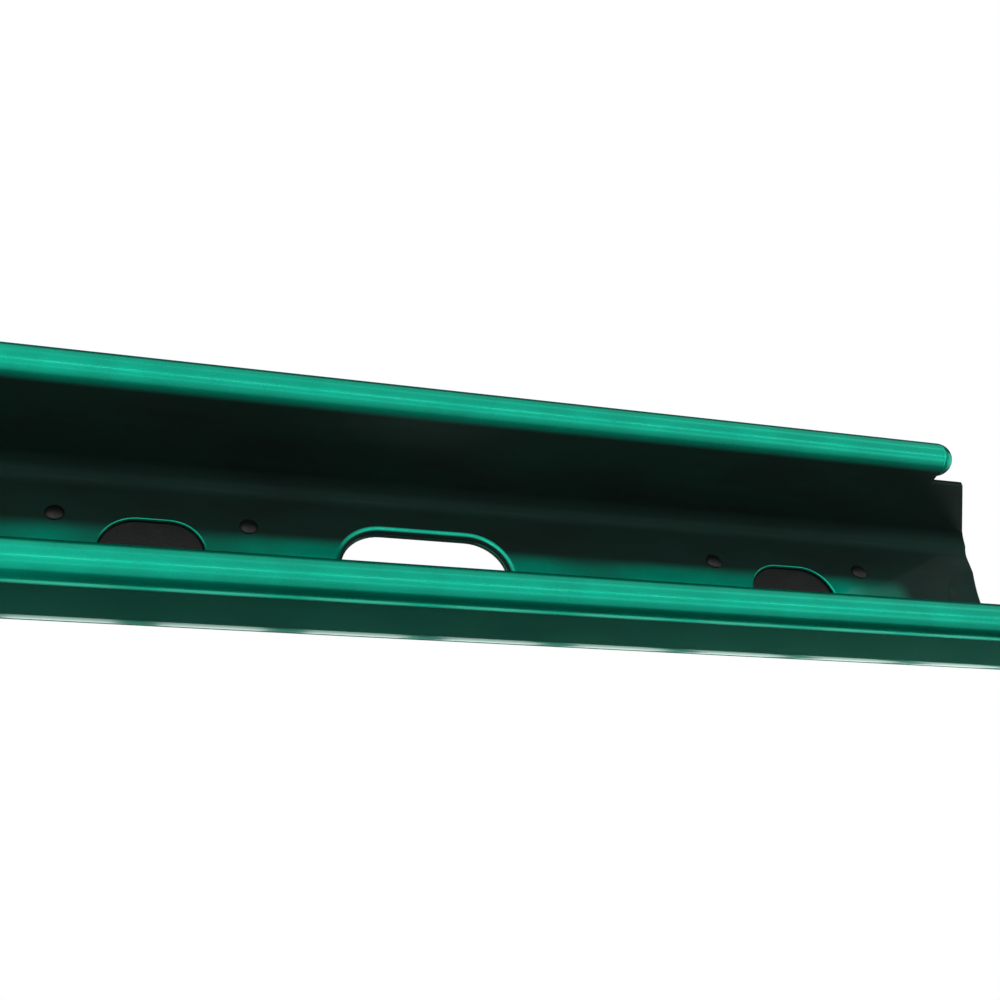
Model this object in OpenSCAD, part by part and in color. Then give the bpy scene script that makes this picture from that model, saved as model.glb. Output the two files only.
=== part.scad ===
// Delineator post: a roll-formed green channel on a bolted foot, with two reflectors on its front.
// +Z is up, the reflectors face -Y and the open side of the channel faces +Y.
// The origin is the middle of the base plate's underside.

/* [Post channel] */
// Width of the channel over its two walls
wall_span = 68; // [64:1:84]
// Depth from the inner face of the web to the middle of the rolled rims
rim_height = 42; // [38:1:60]
// Thickness of the steel sheet
sheet = 2; // [1.6:0.1:2.4]
// Outer radius of the rolled rims
rim_r = 6.5; // [5:0.5:8]
// Outer radius of the bends between web and walls
bend_r = 10; // [6:1:11]
// Height of the channel's lower end over the ground, at rest
post_foot_z = 70; // [66:1:80]
// Length of the channel
post_len = 1130; // [900:1:1400]
// Distance from the channel's upper end down to the ends of its rims
rim_drop = 36; // [20:1:50]
// Height above the web at which the raked ends of the walls begin
rake_start = 1; // [1:0.5:12]

/* [Slots] */
// Distance from one small slot to the next, and from one long slot to the next
slot_pitch = 242; // [220:1:280]
// Distance from the channel's upper end to the first small slot
first_small = 88; // [80:1:110]
// Distance from a small slot down to the long slot below it
small_to_long = 147; // [125:1:160]
// Width of the small slots
small_w = 25; // [21:0.5:28]
// Length of the small slots
small_len = 35; // [32:0.5:42]
// Edge rounding of the small slots
small_edge = 0.8; // [0.4:0.1:1.2]
// Width of the opening of the long slots
long_w = 29.5; // [24:0.5:30]
// Length of the opening of the long slots
long_len = 61; // [56:1:72]
// Bend radius of the lip that is pressed forward round the long slots
lip_bend = 3; // [2.2:0.1:4]
// Straight part of that lip
lip_land = 0.6; // [0.6:0.1:2]
// Radius of the half-round dimple that is pressed into the web at its upper end
dimple_r = 17; // [10:1:20]
// Depth of that dimple
dimple_depth = 3; // [1.5:0.5:4]

/* [Reflectors] */
// Width of a reflector
reflector_w = 44; // [43:1:58]
// Height of a reflector
reflector_h = 92; // [84:1:104]
// Corner radius of a reflector
reflector_r = 8; // [5:1:12]
// Wall of the housing
housing_wall = 2.2; // [1.8:0.1:3]
// Depth of the housing's tray, from its back to its front edge
housing_depth = 7.5; // [7.2:0.1:14]
// Thickness of the housing's back
housing_back = 2.5; // [2:0.1:3]
// Width of the ledge that carries the prism plate
ledge_w = 2; // [1.5:0.1:3]
// Thickness of the rubber gasket behind the housing
gasket_t = 1; // [0.6:0.1:2]
// Thickness of the prism plate
prism_t = 1.2; // [1:0.1:1.4]
// Thickness of the lens
lens_t = 2.2; // [1.8:0.1:2.4]
// Thickness of the bezel
bezel_t = 1.5; // [1:0.1:3]
// Width of the bezel's frame
bezel_w = 4.5; // [4:0.5:7]
// Rivet spacing across the post
rivet_span = 25; // [20:1:30]
// Rivet spacing along the post
rivet_rise = 64; // [58:1:70]
// Diameter of a rivet's shank
rivet_d = 4.8; // [4:0.1:5]

/* [Foot] */
// Side of the square base plate
plate_w = 180; // [160:1:240]
// Thickness of the base plate
plate_t = 8; // [6:0.5:14]
// Corner radius of the base plate
plate_r = 12; // [4:1:20]
// Spacing of the four anchor holes
anchor_span = 140; // [130:1:144]
// Diameter of the anchor holes
anchor_d = 14; // [10:1:18]
// Thickness of the stub channel that stands inside the post
stub_t = 4; // [3:0.5:5]
// Depth of the stub channel
stub_depth = 36; // [32:1:40]
// Play between the stub and each wall of the post
stub_side_gap = 1.5; // [0.6:0.1:3]
// Thickness of the two gussets
gusset_t = 6; // [4:0.5:8]
// Height of the two gussets
gusset_h = 32; // [20:1:36]
// Reach of the two gussets
gusset_reach = 30; // [20:1:36]
// Height of the stub above the upper clamp bolt
stub_head = 55; // [40:1:80]

/* [Height clamp] */
// Diameter of the clamp bolts
bolt_d = 12; // [10:1:12]
// Play of a clamp bolt in its holes, on the diameter
bolt_play = 1; // [0.6:0.1:2]
// Travel of the post up and down from its middle setting
travel = 15; // [5:1:15]
// Thickness of the clamp plates
clamp_plate_t = 5; // [4:0.5:8]
// Thickness of the slide plate behind the stub
slide_plate_t = 4; // [3:0.5:6]
// Thickness of the washers
washer_t = 2.5; // [2:0.1:3]
// Outer diameter of the washers
washer_d = 24; // [22:1:26]
// Width of nut and bolt head across their flats
hex_flats = 18; // [17:0.5:19]
// Height of the bolt heads
head_h = 7.5; // [6:0.5:9]
// Height of the nuts
nut_h = 10; // [8:0.5:12]

/* [Fits] */
// Gap between faces that slide on each other
slide_gap = 0.4; // [0.3:0.05:0.8]
// Gap round a block in its slot
block_gap = 0.3; // [0.3:0.05:0.6]
// Play of a rivet in its hole, on the radius
rivet_play = 0.05; // [0.02:0.01:0.1]
// Play of a rim plug's stem in its rim, on the radius
plug_play = 0.05; // [0.02:0.01:0.1]
// Gap round the lens and the prism plate in the housing
insert_gap = 0.3; // [0.2:0.05:0.6]

/* [Hidden] */

$fn = 64;
eps = 0.01;
past = 20;                                  // how far a cutting shape runs past what it cuts

green = [0.0, 0.50, 0.38];
galvanised = [0.70, 0.72, 0.72];
zinc = [0.78, 0.78, 0.74];
black_plastic = [0.06, 0.06, 0.06];
rubber = [0.10, 0.10, 0.10];
silver = [0.85, 0.86, 0.88];
amber = [1.0, 0.55, 0.05, 0.75];

// section of the post, measured from the inner face of its web
web_front = -sheet;
rim_x = wall_span / 2 - sheet + rim_r;      // middle of a rolled rim
rim_bore = rim_r - sheet;
curl_end = 235;                             // angle at which the rolled edge stops short of the wall
curl_slit = 25;                             // how much wider than that the slit's cut is at its mouth
section_depth = sheet + rim_height + rim_r;
web_y = sheet - section_depth / 2;          // the section stands with its middle over the origin

// heights
post_top_z = post_foot_z + post_len;
foot_margin = 60;                           // least distance from the lowest slot to the lower end
small_count = floor((post_len - first_small - foot_margin) / slot_pitch) + 1;
long_count = floor((post_len - first_small - small_to_long - foot_margin) / slot_pitch) + 1;
lower_bolt_z = small_z(small_count - 1);
upper_bolt_z = lower_bolt_z + slot_pitch - small_to_long;
stub_top_z = upper_bolt_z + stub_head;

// ends of the walls and rims at the top, and the ball that forms the dimple between them
rim_top_z = post_top_z - rim_drop;
rake_end = rim_height - rim_r;
rake_slope = (rim_drop - rim_r) / (rim_height + rim_r - rake_start);
rake_end_z = post_top_z - rake_slope * (rake_end - rake_start);
ball_r = (pow(dimple_r, 2) + pow(dimple_depth, 2)) / (2 * dimple_depth);

// pressed lip of a long slot
lip_front = -(lip_bend + lip_land);

// stub channel
stub_front = slide_gap;
stub_back = stub_front + stub_t;
stub_w = wall_span - 2 * (sheet + stub_side_gap);
stub_r = 8;
bolt_hole_d = bolt_d + bolt_play;
stub_slot_len = bolt_hole_d + 2 * travel + 1;

// height clamp, from front to back
guide_front = min(lip_front, web_front) - block_gap;
guide_len = long_len - 2 * travel - 1;
guide_w = long_w - 2 * block_gap;
key_w = small_w - 2 * block_gap;
key_len = small_len - 2 * block_gap;
upper_plate_size = [46, 70];
lower_plate_size = [46, 54];
slide_plate_size = [40, 40];
plate_corner = 6;
bolt_end = 3;                               // bolt thread that stands out of its nut
slide_front = stub_back + slide_gap;

// reflector, from the post's front face forward
gasket_front = web_front - gasket_t;
back_front = gasket_front - housing_back;
tray_front = gasket_front - housing_depth;
lens_front = tray_front;
lens_back = lens_front + lens_t;
prism_back = lens_back + prism_t;
boss_top = -0.8 * sheet;                    // the housing's boss stops short of the web's inner face
insert_w = reflector_w - 2 * (housing_wall + insert_gap);
insert_h = reflector_h - 2 * (housing_wall + insert_gap);
insert_r = reflector_r - housing_wall - insert_gap;
rivet_head_d = 9;
rivet_head_h = 1.2;
rivet_tail_d = 6.4;
rivet_tail_h = 1.2;

// rim plugs
plug_stem = 12;

// height of a small slot and of a long slot, counted from the top
function small_z(i) = post_top_z - first_small - slot_pitch * i;
function long_z(i) = post_top_z - first_small - small_to_long - slot_pitch * i;

// ---- shapes used more than once ----

// extrudes an outline drawn in X and Z from y0 back to y1
module along_y(y0, y1) {
    translate([0, y1, 0])
        rotate([90, 0, 0])
            linear_extrude(y1 - y0)
                children();
}

// outline of a slot with round ends, its length along the second axis
module obround(w, len) {
    square([w, len - w], center = true);
    for (side = [-1, 1])
        translate([0, side * (len - w) / 2])
            circle(d = w);
}

// outline of a rectangle with round corners
module round_rect(w, h, r) {
    square([w - 2 * r, h], center = true);
    square([w, h - 2 * r], center = true);
    for (sx = [-1, 1], sy = [-1, 1])
        translate([sx * (w / 2 - r), sy * (h / 2 - r)])
            circle(r = r);
}

// tube of radius r that runs round an obround path of width w and length len
module obround_tube(w, len, r) {
    straight = len - w;
    for (side = [-1, 1]) {
        translate([side * w / 2, 0, -straight / 2])
            cylinder(r = r, h = straight);
        intersection() {
            translate([0, 0, side * straight / 2])
                rotate([90, 0, 0])
                    rotate_extrude()
                        translate([w / 2, 0])
                            circle(r = r);
            translate([0, 0, side * (straight / 2 + len)])
                cube([2 * len, 4 * r, 2 * len], center = true);
        }
    }
}

// what a press tool takes out of the web for a slot whose edge on the inner face has radius r
module slot_cut(w, len, r) {
    along_y(-past, past)
        obround(w, len);
    difference() {
        along_y(-r, past)
            obround(w + 2 * r, len + 2 * r);
        translate([0, -r, 0])
            obround_tube(w + 2 * r, len + 2 * r, r);
        along_y(-r - eps, -r)
            obround(w + 4 * r, len + 4 * r);
    }
}

// round hole along Y through the faces from y0 to y1
module hole_y(d, y0, y1) {
    translate([0, y1, 0])
        rotate([90, 0, 0])
            cylinder(d = d, h = y1 - y0);
}

// trough with rounded lower corners, open towards the second axis
module trough(w, bottom, top, r) {
    translate([-w / 2, bottom + r])
        square([w, top - bottom - r]);
    translate([-w / 2 + r, bottom])
        square([w - 2 * r, top - bottom]);
    for (side = [-1, 1])
        translate([side * (w / 2 - r), bottom + r])
            circle(r = r);
}

// section of a channel: a larger trough less a smaller one
module channel_section(w, bottom, top, t, r) {
    difference() {
        trough(w, bottom, top, r);
        trough(w - 2 * t, bottom + t, top + past, r - t);
    }
}

// places children at the four corners of a rectangle in X and Z
module at_rivets() {
    for (sx = [-1, 1], sz = [-1, 1])
        translate([sx * rivet_span / 2, 0, sz * rivet_rise / 2])
            children();
}

// stands children on the post's web: Y is counted from the inner face of the web
module on_post(z) {
    translate([0, web_y, z])
        children();
}

// ---- post ----

// one rim, rolled outward and back to the wall
module rim_section() {
    reach = 3 * rim_r;
    difference() {
        circle(r = rim_r);
        circle(r = rim_bore);
        polygon([
            [0, 0],
            [-reach, 0],
            [reach * cos(curl_end - curl_slit), reach * sin(curl_end - curl_slit)],
            [reach * cos(curl_end), reach * sin(curl_end)]
        ]);
    }
}

module post_section() {
    channel_section(wall_span, web_front, rim_height, sheet, bend_r);
    for (side = [0, 1])
        mirror([side, 0])
            translate([rim_x, rim_height])
                rim_section();
}

// takes the rims off below the channel's upper end and rakes the ends of the walls, in line with
// the tops of the rims' plugs
module end_rake() {
    rotate([90, 0, 90])
        linear_extrude(4 * wall_span, center = true)
            polygon([
                [rake_start, post_top_z + eps],
                [rake_start, post_top_z],
                [rake_end, rake_end_z],
                [rake_end, rim_top_z],
                [rake_end + 4 * rim_r, rim_top_z],
                [rake_end + 4 * rim_r, post_top_z + eps]
            ]);
}

// cap of a ball that stands forward of the plane y0 by the dimple's depth, below height top
module dimple_cap(y0, top) {
    intersection() {
        translate([0, y0 - dimple_depth + ball_r, post_top_z])
            sphere(r = ball_r, $fn = 128);
        translate([-2 * dimple_r, y0 - past, top - 2 * dimple_r])
            cube([4 * dimple_r, past + eps, 2 * dimple_r]);
    }
}

module post_channel() {
    color(green)
        on_post(0)
            difference() {
                union() {
                    translate([0, 0, post_foot_z])
                        linear_extrude(post_len)
                            post_section();
                    dimple_cap(web_front, post_top_z);
                    for (i = [0 : long_count - 1])
                        translate([0, 0, long_z(i)])
                            along_y(lip_front, -sheet / 2)
                                obround(long_w + 2 * sheet, long_len + 2 * sheet);
                }
                for (i = [0 : long_count - 1])
                    translate([0, 0, long_z(i)])
                        slot_cut(long_w, long_len, lip_bend);
                for (i = [0 : small_count - 1])
                    translate([0, 0, small_z(i)])
                        slot_cut(small_w, small_len, small_edge);
                for (i = [0, 1])
                    translate([0, 0, small_z(i)])
                        at_rivets()
                            hole_y(rivet_d + 2 * rivet_play, -past, past);
                dimple_cap(0, post_top_z + eps);
                end_rake();
            }
}

// domed plug that closes one end of a rim, its stem pointing down
module rim_plug() {
    rotate_extrude()
        difference() {
            union() {
                circle(r = rim_r);
                translate([0, -plug_stem])
                    square([rim_bore - plug_play, plug_stem]);
            }
            translate([-2 * rim_r, -2 * rim_r])
                square([2 * rim_r, 4 * rim_r]);
            translate([rim_bore - plug_play, -2 * rim_r])
                square([2 * rim_r, 2 * rim_r]);
            translate([0, -2 * plug_stem])
                square([2 * rim_r, plug_stem]);
        }
}

module rim_plugs() {
    for (side = [-1, 1])
        translate([side * rim_x, rim_height, 0])
            rim_plug();
}

module top_rim_plugs() {
    color(green)
        on_post(rim_top_z)
            rim_plugs();
}

module foot_rim_plugs() {
    color(green)
        on_post(post_foot_z)
            mirror([0, 0, 1])
                rim_plugs();
}

// ---- reflectors: the same six pieces at two small slots ----

module gasket(i) {
    color(rubber)
        on_post(small_z(i))
            difference() {
                along_y(gasket_front, web_front)
                    round_rect(reflector_w, reflector_h, reflector_r);
                along_y(-past, past)
                    obround(small_w, small_len);
                at_rivets()
                    hole_y(rivet_d + 2 * rivet_play, -past, past);
            }
}

module housing(i) {
    color(black_plastic)
        on_post(small_z(i))
            difference() {
                union() {
                    along_y(tray_front, gasket_front)
                        round_rect(reflector_w, reflector_h, reflector_r);
                    along_y(gasket_front - eps, boss_top)
                        obround(key_w, key_len);
                }
                along_y(-past, prism_back)
                    round_rect(insert_w + 2 * insert_gap, insert_h + 2 * insert_gap, insert_r + insert_gap);
                along_y(-past, back_front)
                    round_rect(
                        insert_w + 2 * (insert_gap - ledge_w),
                        insert_h + 2 * (insert_gap - ledge_w),
                        insert_r + insert_gap - ledge_w
                    );
                at_rivets()
                    hole_y(rivet_d + 2 * rivet_play, -past, past);
            }
}

module prism_plate(i) {
    color(silver)
        on_post(small_z(i))
            along_y(lens_back, prism_back)
                round_rect(insert_w, insert_h, insert_r);
}

module lens(i) {
    color(amber)
        on_post(small_z(i))
            along_y(lens_front, lens_back)
                round_rect(insert_w, insert_h, insert_r);
}

module bezel(i) {
    color(black_plastic)
        on_post(small_z(i))
            difference() {
                along_y(tray_front - bezel_t, tray_front)
                    round_rect(reflector_w, reflector_h, reflector_r);
                along_y(-2 * past, past)
                    round_rect(
                        reflector_w - 2 * bezel_w,
                        reflector_h - 2 * bezel_w,
                        max(reflector_r - bezel_w, 1)
                    );
            }
}

// blind rivet with its flat head on the housing and its tail inside the channel
module rivet() {
    hole_y(rivet_head_d, back_front - rivet_head_h, back_front);
    hole_y(rivet_d, back_front - eps, eps);
    hole_y(rivet_tail_d, 0, rivet_tail_h);
}

module rivets(i) {
    color(black_plastic)
        on_post(small_z(i))
            at_rivets()
                rivet();
}

// ---- foot ----

module base_plate() {
    color(galvanised)
        difference() {
            linear_extrude(plate_t)
                round_rect(plate_w, plate_w, plate_r);
            for (sx = [-1, 1], sy = [-1, 1])
                translate([sx * anchor_span / 2, sy * anchor_span / 2, -past])
                    cylinder(d = anchor_d, h = plate_t + 2 * past);
        }
}

module foot_stub() {
    color(galvanised)
        on_post(0)
            difference() {
                translate([0, 0, plate_t])
                    linear_extrude(stub_top_z - plate_t)
                        channel_section(stub_w, stub_front, stub_depth, stub_t, stub_r);
                translate([0, 0, upper_bolt_z])
                    hole_y(bolt_hole_d, -past, past);
                translate([0, 0, lower_bolt_z])
                    along_y(-past, past)
                        obround(bolt_hole_d, stub_slot_len);
            }
}

module foot_gussets() {
    gusset_y = (stub_front + stub_depth) / 2;
    nose = 6;                               // height of a gusset's outer end
    color(galvanised)
        on_post(plate_t)
            for (side = [0, 1])
                mirror([side, 0, 0])
                    translate([stub_w / 2, gusset_y + gusset_t / 2, 0])
                        rotate([90, 0, 0])
                            linear_extrude(gusset_t)
                                polygon([
                                    [0, 0],
                                    [gusset_reach, 0],
                                    [gusset_reach, nose],
                                    [nose, gusset_h],
                                    [0, gusset_h]
                                ]);
}

// ---- height clamp ----

module clamp_plate(size, y0, y1) {
    difference() {
        along_y(y0, y1)
            round_rect(size[0], size[1], plate_corner);
        hole_y(bolt_hole_d, -2 * past, 2 * past);
    }
}

module block(w, len, y0, y1) {
    difference() {
        along_y(y0, y1)
            obround(w, len);
        hole_y(bolt_hole_d, -past, past);
    }
}

module washer(y0) {
    difference() {
        hole_y(washer_d, y0, y0 + washer_t);
        hole_y(bolt_hole_d, y0 - past, y0 + past);
    }
}

// hexagon between y0 and y1
module hexagon(y0, y1) {
    translate([0, y1, 0])
        rotate([90, 0, 0])
            cylinder(d = hex_flats / cos(30), h = y1 - y0, $fn = 6);
}

// bolt whose head's underside lies at y0 and whose shank ends at y1
module bolt(y0, y1) {
    hexagon(y0 - head_h, y0);
    hole_y(bolt_d, y0 - eps, y1);
}

module nut(y0) {
    difference() {
        hexagon(y0, y0 + nut_h);
        hole_y(bolt_d, y0 - past, y0 + past);
    }
}

// the upper clamp stays with the foot: its block slides in a long slot of the post
module guide_block() {
    color(zinc)
        on_post(upper_bolt_z)
            block(guide_w, guide_len, guide_front, stub_front);
}

module upper_clamp_plate() {
    color(galvanised)
        on_post(upper_bolt_z)
            clamp_plate(upper_plate_size, guide_front - clamp_plate_t, guide_front);
}

module upper_clamp_washers() {
    color(zinc)
        on_post(upper_bolt_z) {
            washer(guide_front - clamp_plate_t - washer_t);
            washer(stub_back);
        }
}

module upper_clamp_bolt() {
    color(zinc)
        on_post(upper_bolt_z)
            bolt(guide_front - clamp_plate_t - washer_t, stub_back + washer_t + nut_h + bolt_end);
}

module upper_clamp_nut() {
    color(zinc)
        on_post(upper_bolt_z)
            nut(stub_back + washer_t);
}

// the lower clamp moves with the post: its bolt slides in the slot of the stub
module key_block() {
    color(zinc)
        on_post(lower_bolt_z)
            block(key_w, key_len, web_front, 0);
}

module lower_clamp_plate() {
    color(galvanised)
        on_post(lower_bolt_z)
            clamp_plate(lower_plate_size, web_front - clamp_plate_t, web_front);
}

module slide_plate() {
    color(galvanised)
        on_post(lower_bolt_z)
            clamp_plate(slide_plate_size, slide_front, slide_front + slide_plate_t);
}

module lower_clamp_washers() {
    color(zinc)
        on_post(lower_bolt_z) {
            washer(web_front - clamp_plate_t - washer_t);
            washer(slide_front + slide_plate_t);
        }
}

module lower_clamp_bolt() {
    color(zinc)
        on_post(lower_bolt_z)
            bolt(
                web_front - clamp_plate_t - washer_t,
                slide_front + slide_plate_t + washer_t + nut_h + bolt_end
            );
}

module lower_clamp_nut() {
    color(zinc)
        on_post(lower_bolt_z)
            nut(slide_front + slide_plate_t + washer_t);
}

base_plate();
foot_stub();
foot_gussets();
guide_block();
upper_clamp_plate();
upper_clamp_bolt();
upper_clamp_washers();
upper_clamp_nut();
post_channel();
top_rim_plugs();
foot_rim_plugs();
key_block();
lower_clamp_plate();
slide_plate();
lower_clamp_bolt();
lower_clamp_washers();
lower_clamp_nut();
gasket(0);  // upper_gasket
housing(0);  // upper_housing
prism_plate(0);  // upper_prism_plate
lens(0);  // upper_lens
bezel(0);  // upper_bezel
rivets(0);  // upper_rivets
gasket(1);  // lower_gasket
housing(1);  // lower_housing
prism_plate(1);  // lower_prism_plate
lens(1);  // lower_lens
bezel(1);  // lower_bezel
rivets(1);  // lower_rivets
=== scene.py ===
"""Looks of a roadside delineator post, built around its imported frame.

The post is a roll-formed channel in green flake paint. It stands on a galvanised foot, is clamped
at its height by two bolts, and carries two amber reflectors on its closed front.
"""

import logging
import math
from dataclasses import dataclass, field
from enum import Enum
from typing import Iterable, Sequence, Union

import bmesh
import bpy
from mathutils import Matrix, Vector


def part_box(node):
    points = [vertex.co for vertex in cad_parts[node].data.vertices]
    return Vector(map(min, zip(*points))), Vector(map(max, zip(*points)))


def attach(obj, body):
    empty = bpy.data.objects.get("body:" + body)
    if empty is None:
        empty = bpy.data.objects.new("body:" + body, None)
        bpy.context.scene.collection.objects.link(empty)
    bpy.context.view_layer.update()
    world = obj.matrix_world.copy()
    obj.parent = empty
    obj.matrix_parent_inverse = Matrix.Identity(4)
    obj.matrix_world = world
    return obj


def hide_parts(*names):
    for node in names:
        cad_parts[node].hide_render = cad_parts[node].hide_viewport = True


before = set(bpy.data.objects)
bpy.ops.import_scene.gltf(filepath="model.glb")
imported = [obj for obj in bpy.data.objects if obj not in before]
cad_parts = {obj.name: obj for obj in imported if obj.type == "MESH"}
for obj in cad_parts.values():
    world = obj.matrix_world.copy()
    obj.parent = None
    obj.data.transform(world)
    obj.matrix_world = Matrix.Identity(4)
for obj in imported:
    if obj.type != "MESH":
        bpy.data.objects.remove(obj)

LOG = logging.getLogger("delineator_post")
MM = 0.001
Number = Union[int, float]
Pair = tuple[float, float]
Colour = tuple[float, float, float]
Place = tuple[float, float, float]
Radii = Union[float, list[float]]


class Body(Enum):
    """The two bodies that pieces ride on."""

    FOOT = "foot"
    POST = "post"


class Slot(Enum):
    """The record's material slots."""

    GREEN = "green_paint"
    GALVANISED = "galvanised_steel"
    ZINC = "zinc_steel"
    PLASTIC = "black_plastic"
    RIVET = "black_rivet"
    RUBBER = "gasket_rubber"
    PRISM = "prism_silver"
    LENS = "amber_lens"


class Side(Enum):
    """Left and right of the post's middle plane, seen along +Y."""

    LEFT = -1
    RIGHT = 1


# ---------------------------------------------------------------- shader tools


class Shade:
    """A socket of a shader tree that can stand in a Python expression."""

    def __init__(self, tree: bpy.types.NodeTree, socket: bpy.types.NodeSocket) -> None:
        """Keeps the tree and the socket."""
        self.tree = tree
        self.socket = socket

    def _math(self, operation: str, first: "Operand", second: "Operand" = 0.0) -> "Shade":
        """Adds a Math node.

        Args:
            operation: The node's operation.
            first: Its first value.
            second: Its second value.

        Returns:
            The node's result.
        """
        node = self.tree.nodes.new("ShaderNodeMath")
        node.operation = operation
        for place, value in enumerate((first, second)):
            if isinstance(value, Shade):
                self.tree.links.new(value.socket, node.inputs[place])
            else:
                node.inputs[place].default_value = float(value)
        return Shade(self.tree, node.outputs[0])

    def __add__(self, other: "Operand") -> "Shade":
        """Sum."""
        return self._math("ADD", self, other)

    def __radd__(self, other: Number) -> "Shade":
        """Sum with a number on the left."""
        return self._math("ADD", other, self)

    def __sub__(self, other: "Operand") -> "Shade":
        """Difference."""
        return self._math("SUBTRACT", self, other)

    def __rsub__(self, other: Number) -> "Shade":
        """Difference with a number on the left."""
        return self._math("SUBTRACT", other, self)

    def __mul__(self, other: "Operand") -> "Shade":
        """Product."""
        return self._math("MULTIPLY", self, other)

    def __rmul__(self, other: Number) -> "Shade":
        """Product with a number on the left."""
        return self._math("MULTIPLY", other, self)

    def __truediv__(self, other: "Operand") -> "Shade":
        """Quotient."""
        return self._math("DIVIDE", self, other)

    def __pow__(self, other: Number) -> "Shade":
        """Power."""
        return self._math("POWER", self, other)

    def __abs__(self) -> "Shade":
        """Size without sign."""
        return self._math("ABSOLUTE", self)

    def above(self, least: float) -> "Shade":
        """Keeps the value from falling under a least one.

        Args:
            least: The least value.

        Returns:
            The larger of the two.
        """
        return self._math("MAXIMUM", self, least)

    def step(self, low: float, high: float) -> "Shade":
        """Goes smoothly from 0 to 1 as the value goes from low to high.

        Args:
            low: Value that gives 0.
            high: Value that gives 1. It may lie under low.

        Returns:
            The mask.
        """
        node = self.tree.nodes.new("ShaderNodeMapRange")
        node.interpolation_type = "SMOOTHSTEP"
        self.tree.links.new(self.socket, node.inputs["Value"])
        turned = low > high
        node.inputs["From Min"].default_value = min(low, high)
        node.inputs["From Max"].default_value = max(low, high)
        node.inputs["To Min"].default_value = 1.0 if turned else 0.0
        node.inputs["To Max"].default_value = 0.0 if turned else 1.0
        return Shade(self.tree, node.outputs["Result"])


Operand = Union[Shade, int, float]


class Painter:
    """Builds the node tree of one material round its Principled shader."""

    def __init__(self, name: str) -> None:
        """Starts a material.

        Args:
            name: The material's name.
        """
        self.material = bpy.data.materials.new(name)
        self.material.use_nodes = True
        self.tree = self.material.node_tree
        self.shader = self.tree.nodes["Principled BSDF"]

    def node(
        self, kind: str, settings: dict | None = None, inputs: dict | None = None
    ) -> bpy.types.Node:
        """Adds any node.

        Args:
            kind: The node's type.
            settings: Properties of the node, set first.
            inputs: Values or shades of its sockets, by name or place.

        Returns:
            The node.
        """
        made = self.tree.nodes.new(kind)
        for name, value in (settings or {}).items():
            setattr(made, name, value)
        for name, value in (inputs or {}).items():
            if isinstance(value, Shade):
                self.tree.links.new(value.socket, made.inputs[name])
            else:
                made.inputs[name].default_value = value
        return made

    def result(self, made: bpy.types.Node, name: str | int = 0) -> Shade:
        """Wraps one of a node's outputs.

        Args:
            made: The node.
            name: The output's name or place.

        Returns:
            The output.
        """
        return Shade(self.tree, made.outputs[name])

    def place(self) -> Shade:
        """The point in the object's own coordinates, in metres."""
        return self.result(self.node("ShaderNodeTexCoord"), "Object")

    def axes(self) -> tuple[Shade, Shade, Shade]:
        """The point's X, Y and Z in metres."""
        parts = self.node("ShaderNodeSeparateXYZ", inputs={"Vector": self.place()})
        return tuple(self.result(parts, axis) for axis in "XYZ")

    def noise(
        self, size: float, detail: float = 2.0, stretch: Sequence[float] = (1, 1, 1)
    ) -> Shade:
        """Soft noise from 0 to 1.

        Args:
            size: Size of its features, in metres.
            detail: Octaves.
            stretch: How much longer the features are along X, Y and Z.

        Returns:
            The noise.
        """
        scale = tuple(1.0 / s for s in stretch)
        place = self.node("ShaderNodeMapping", inputs={"Vector": self.place(), "Scale": scale})
        made = self.node(
            "ShaderNodeTexNoise",
            inputs={"Vector": self.result(place), "Scale": 1.0 / size, "Detail": detail},
        )
        return self.result(made, 0)

    def cells(self, size: float) -> tuple[Shade, Shade]:
        """Cells of a given size.

        Args:
            size: Size of a cell, in metres.

        Returns:
            The distance, and a random colour for each cell.
        """
        made = self.node(
            "ShaderNodeTexVoronoi", inputs={"Vector": self.place(), "Scale": 1.0 / size}
        )
        return self.result(made, "Distance"), self.result(made, "Color")

    def mix(self, factor: Operand, first: object, second: object) -> Shade:
        """Mixes two colours.

        Args:
            factor: Share of the second.
            first: A colour or a shade.
            second: A colour or a shade.

        Returns:
            The mixed colour.
        """
        made = self.node("ShaderNodeMix", {"data_type": "RGBA"})
        wanted = {0: factor, 6: first, 7: second}
        for place, value in wanted.items():
            if isinstance(value, Shade):
                self.tree.links.new(value.socket, made.inputs[place])
            elif place == 0:
                made.inputs[place].default_value = float(value)
            else:
                made.inputs[place].default_value = (*value, 1.0)
        return Shade(self.tree, made.outputs[2])

    def bump(self, height: Shade, depth: float) -> Shade:
        """A normal from a height.

        Args:
            height: The height, from 0 to 1.
            depth: What 1 stands for, in metres.

        Returns:
            The normal.
        """
        return self.result(
            self.node(
                "ShaderNodeBump", inputs={"Height": height, "Distance": depth, "Strength": 1.0}
            )
        )

    def feed(self, **values: object) -> None:
        """Sets or links sockets of the Principled shader.

        Args:
            values: Socket names with _ for a space, and numbers, colours or shades.
        """
        for name, value in values.items():
            socket = self.shader.inputs[name.replace("_", " ")]
            if isinstance(value, Shade):
                self.tree.links.new(value.socket, socket)
            elif isinstance(value, tuple):
                socket.default_value = (*value, 1.0)
            else:
                socket.default_value = value


# ---------------------------------------------------------------- finishes


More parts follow.
